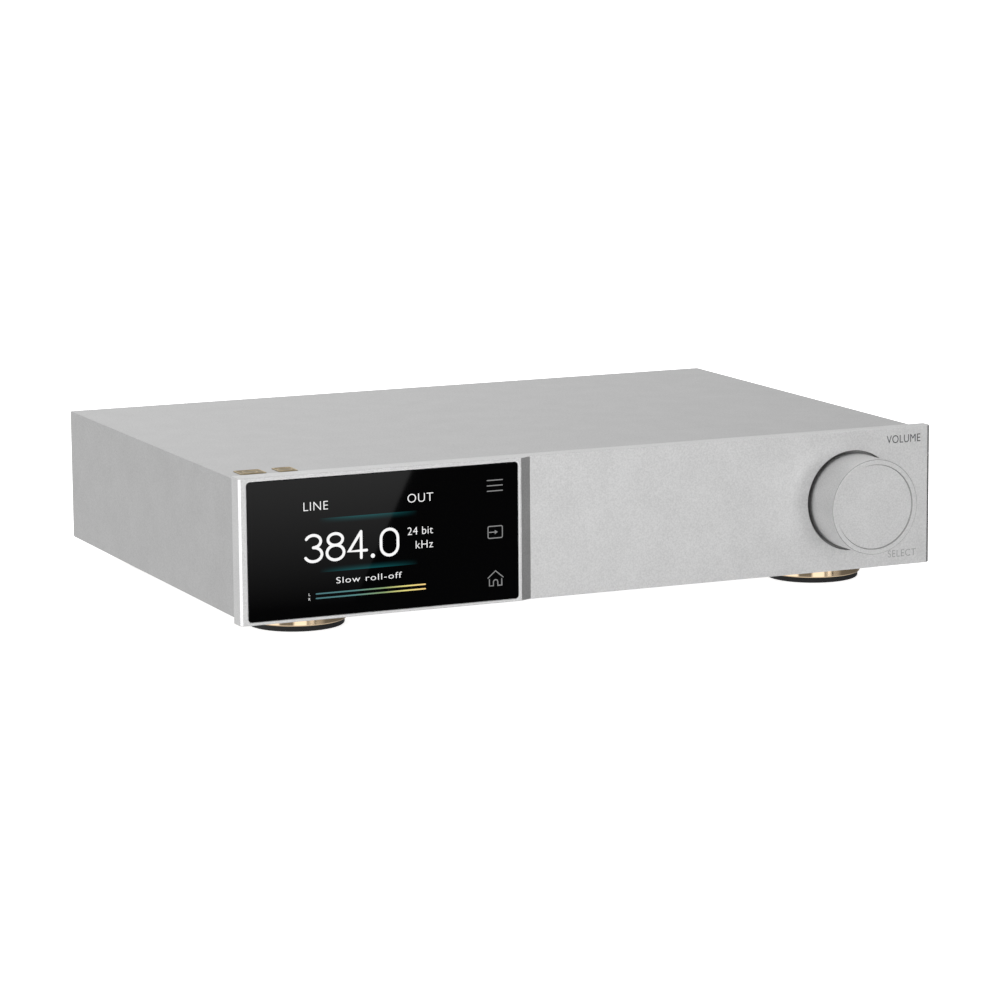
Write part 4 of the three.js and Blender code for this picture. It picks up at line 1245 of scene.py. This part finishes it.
def make_mains():
    face = slab(-29, 29, -15, 15, 3, 8, 0.2, 2.6, 0.5)
    rear = slab(-27, 27, -13.2, 13.2, 0.5, 3, -22, 1)
    mouth = softened([
        (-12.1, -8, 1.2), (12.1, -8, 1.2), (12.1, 3.4, 0.8), (7.3, 8.2, 0.8), (-7.3, 8.2, 0.8),
        (-12.1, 3.4, 0.8),
    ], 5)
    hollow = stacked([(mouth, -17), (mouth, 2.0), (grown(mouth, 1.2), 3.2)], INLET_X)
    drawer_half = WELL_HALF - 0.3
    drawer_well = slab(DRAWER_X - 3.5, DRAWER_X + 3.5, -drawer_half, drawer_half, 0.3, 3, -19, 4)
    rocker_well = slab(ROCKER_X - 6.5, ROCKER_X + 6.5, -WELL_HALF, WELL_HALF, 0.3, 3, -12, 4)
    body = cut(join(face, rear), hollow, drawer_well, rocker_well)
    rim_half = WELL_HALF + 1.1
    outer = rounded_rect(ROCKER_X - 7.6, ROCKER_X + 7.6, -rim_half, rim_half, 1.2, 5)
    inner = rounded_rect(ROCKER_X - 6.5, ROCKER_X + 6.5, -WELL_HALF, WELL_HALF, 0.3, 5)
    rim = loft([
        [(a, 2.3, b), (a, 3.0, b), (c, 3.2, d), (c, 2.3, d)] for (a, b), (c, d) in zip(outer, inner)
    ], closed=True)
    parts = [body, rim]
    for x, z in ((-7, -2), (7, -2), (0, 4)):
        middle = INLET_X + x
        blade = slab(middle - 1, middle + 1, z - 2, z + 2, 0.3, 3, -19, -2, 0.5)
        parts.append(tinted(blade, 1))
    socket("mains_inlet", merged(*parts), [PLASTIC, NICKEL])

    tray_half = WELL_HALF - 0.6
    tray = slab(-3.2, 3.2, -tray_half, tray_half, 0.4, 3, -18, 2.2, 0.2)
    pull = slab(-2.2, 2.2, -4, 4, 0.8, 5, 1.8, 3.4, 0.4)
    fuse_room = slab(-2.4, 2.4, -3, 12, 0.3, 3, -16, -5)
    grooves = []
    for k in (-2, -1, 0, 1, 2):
        grooves.append(slab(-1.5, 1.5, k * 1.4 - 0.3, k * 1.4 + 0.3, 0.25, 3, 3.15, 4.5))
    drawer = cut(join(tray, pull), fuse_room, *grooves)
    fine("fuse_drawer", moved(drawer, *socket_at("fuse_drawer")), PLASTIC, body="drawer")


def make_rocker():
    """The power rocker as it stands at one stop, with a plain line and ring marked on its two ends."""
    x, _, z = socket_at("mains_inlet")
    side = softened([
        (4.2, 9.8, 0.6), (-1, 9.4, 0.3), (-5, 3.5, 0.3), (-5, -3.5, 0.3), (-1, -9.4, 0.3),
        (4.2, -9.8, 0.6), (2.8, 0, 6.0),
    ], 8)
    body = prism(side, -6.2, 6.2, "X", edge=0.35)
    ring_mark = stroke(arc((0, 5.4), 1.5, 0, 360, 32)[:-1], 0.5, True)
    line_mark = stroke([(0, -6.9), (0, -3.9)], 0.5)
    marks = []
    for outline, inner in (ring_mark, line_mark):
        flat = flat_shape(outline, inner, y=0, thick=0.05)
        for v in flat.verts:
            v.co.y = 2.78 - v.co.y + abs(v.co.z) / 7   # the face rises 1.4 over 9.8
        bmesh.ops.recalc_face_normals(flat, faces=flat.faces)
        marks.append(tinted(flat, 1))
    made = merged(body, *marks)
    made.transform(Matrix.Rotation(ROCKER_TILT, 4, "X"))
    moved(made, x + ROCKER_X, REAR_Y, z)
    fine("power_rocker", made, [SHINY_PLASTIC, WHITE_PLASTIC], body="rocker")


def make_rear():
    make_rear_panel()
    make_rear_words()
    make_phono("phono_out_left", WHITE_PLASTIC)
    make_phono("phono_out_right", RED_PLASTIC)
    make_phono("coaxial_in", PLASTIC)
    make_balanced_out("balanced_out_left")
    make_balanced_out("balanced_out_right")
    make_balanced_in("balanced_digital_in")
    make_optical()
    make_ports()
    make_small_jacks()
    make_mains()
    make_rocker()
    for node in REAR_SCREWS:
        socket(node, hex_screw(), BLACK_STEEL)


# ------------------------------------------------------------------ stage

def make_camera():
    """Looks at the panel from its left, a little above, from about 1.36 m."""
    azimuth, elevation, roll = math.radians(23.86), math.radians(9.587), math.radians(-0.463)
    distance = 1.357
    target = Vector((-0.02939, (FACE_Y + 13.92) * MM, 0.03866))
    forward = Vector((
        math.sin(azimuth) * math.cos(elevation),
        math.cos(azimuth) * math.cos(elevation),
        -math.sin(elevation),
    ))
    level = forward.cross(Vector((0, 0, 1))).normalized()
    upright = level.cross(forward)
    right = level * math.cos(roll) + upright * math.sin(roll)
    up = upright * math.cos(roll) - level * math.sin(roll)
    camera = bpy.data.objects.new("camera", bpy.data.cameras.new("camera"))
    camera.data.lens = 145.2
    camera.data.sensor_width = 36
    camera.matrix_world = Matrix((
        (right.x, up.x, -forward.x, 0),
        (right.y, up.y, -forward.y, 0),
        (right.z, up.z, -forward.z, 0),
        (0, 0, 0, 1),
    ))
    camera.location = target - forward * distance
    bpy.context.scene.collection.objects.link(camera)
    bpy.context.scene.camera = camera


# The studio as polished metal sees it: azimuth in degrees from +X towards +Y, and its brightness.
STUDIO = (
    (-180, 1.5), (-152, 1.5), (-148, 0.22), (-119, 0.22), (-114, 1.5), (-88, 1.5), (-86.5, 0.25),
    (-85, 0.25), (-83.5, 0.66), (-52, 0.42), (-42, 0.18), (20, 0.14), (44, 0.34), (58, 0.58),
    (70, 0.94), (84, 1.08), (98, 0.76), (150, 0.72), (158, 1.5), (180, 1.5),
)
# The same walls above and below the narrow strips that only the feet and edges show
WALLS = (
    (-180, 1.0), (-88, 1.0), (-83, 0.66), (-52, 0.42), (-42, 0.18), (20, 0.16), (44, 0.34), (58, 0.58),
    (70, 0.94), (84, 1.08), (98, 0.76), (150, 0.72), (158, 1.0), (180, 1.0),
)
OVERHEAD = 0.85
BELOW = 0.8
SOFTBOX = 1.7


def make_world():
    """White behind the object, even for soft shading, with bright and dark sides in reflections."""
    world = bpy.data.worlds.new("studio")
    bpy.context.scene.world = world
    world.use_nodes = True
    world.cycles.sampling_method = "NONE"
    sky = Tree(world.node_tree)
    axes = sky.add("ShaderNodeSeparateXYZ")
    sky.link(sky.add("ShaderNodeTexCoord").outputs["Generated"], axes.inputs["Vector"])
    x, y, z = (axes.outputs[key] for key in "XYZ")

    azimuth = sky.spread(sky.math("ARCTAN2", y, x), 0.0, 1.0, -math.pi, math.pi)
    sides = []
    for stops in (STUDIO, WALLS):
        halved = [((degrees + 180) / 360, (tone / 2,) * 3) for degrees, tone in stops]
        sides.append(sky.math("MULTIPLY", sky.ramp(azimuth, halved), 2.0))
    strips, walls = sides
    level = sky.math("ABSOLUTE", sky.math("ADD", z, 0.18))
    tone = sky.between(sky.spread(level, 0.0, 1.0, 0.07, 0.12), strips, walls)

    # A softbox in front, whose slanted right edge shows as the diagonal in the display glass, with a
    # small black flag beside and below it that keeps the rest of the glass dark
    ahead = sky.math("MAXIMUM", sky.math("MULTIPLY", y, -1.0), 0.05)
    across = sky.math("DIVIDE", x, ahead)
    height = sky.math("DIVIDE", z, ahead)
    edge = sky.math("ADD", sky.math("MULTIPLY", height, 0.495), 0.5025)
    inside = sky.math("LESS_THAN", across, edge)
    right_of = sky.math("GREATER_THAN", across, 0.2)
    rise = sky.spread(height, 0.0, 1.0, -0.21, -0.176)
    fall = sky.spread(height, 1.0, 0.0, 0.1, 0.6)
    box = sky.math("MULTIPLY", sky.math("MULTIPLY", inside, right_of), sky.math("MULTIPLY", rise, fall))
    beside = [
        sky.math("GREATER_THAN", across, 0.355), sky.math("LESS_THAN", across, 0.47),
        sky.math("GREATER_THAN", height, -0.235), sky.math("LESS_THAN", height, -0.16),
    ]
    flag = sky.math("MULTIPLY", sky.math("MULTIPLY", *beside[:2]), sky.math("MULTIPLY", *beside[2:]))
    tone = sky.between(flag, tone, 0.06)
    tone = sky.math("ADD", tone, sky.math("MULTIPLY", box, SOFTBOX))

    tone = sky.between(sky.spread(z, 0.0, 1.0, 0.3, 0.75), tone, OVERHEAD)
    tone = sky.between(sky.spread(z, 1.0, 0.0, -0.7, -0.35), tone, BELOW)

    path = sky.add("ShaderNodeLightPath")
    shown = sky.between(path.outputs["Is Glossy Ray"], 1.0, tone)
    shown = sky.between(path.outputs["Is Camera Ray"], shown, 1.0)
    sky.link(shown, sky.tree.nodes["Background"].inputs["Color"])


def make_floor():
    made = bmesh.new()
    bmesh.ops.create_grid(made, x_segments=1, y_segments=1, size=6)
    mesh = bpy.data.meshes.new("floor")
    made.to_mesh(mesh)
    made.free()
    pale = Nodes("pale_floor", (0.88, 0.88, 0.88), 0.8, Specular_IOR_Level=0.1)
    pale.feed("Roughness", pale.spread(pale.noise(3, 2.0), 0.75, 0.85))
    pale.shader.inputs["Emission Color"].default_value = (1, 1, 1, 1)
    pale.shader.inputs["Emission Strength"].default_value = 0.8
    mesh.materials.append(pale.material)
    floor = bpy.data.objects.new("floor", mesh)
    floor.visible_glossy = False
    bpy.context.scene.collection.objects.link(floor)


def make_overhead():
    """A broad, weak light from above, which lays the faint shadow on the floor."""
    data = bpy.data.lights.new("overhead", "AREA")
    data.shape = "RECTANGLE"
    data.size = 1.8
    data.size_y = 1.4
    data.energy = 5
    light = bpy.data.objects.new("overhead", data)
    place = Vector((0.1, 0.0, 1.5))
    light.location = place
    light.rotation_euler = (-place).to_track_quat("-Z", "Y").to_euler()
    light.visible_camera = False
    light.visible_glossy = False
    bpy.context.scene.collection.objects.link(light)


def make_stage():
    bpy.context.scene.view_settings.view_transform = "Standard"
    make_world()
    make_floor()
    make_overhead()


dress_cad_nodes()
make_camera()
make_front_panel()
make_glass()
make_figures()
make_screen_words()
make_level_bars()
make_icons()
make_panel_words()
make_knob()
make_cover()
make_badges()
make_feet()
make_rear()
make_stage()
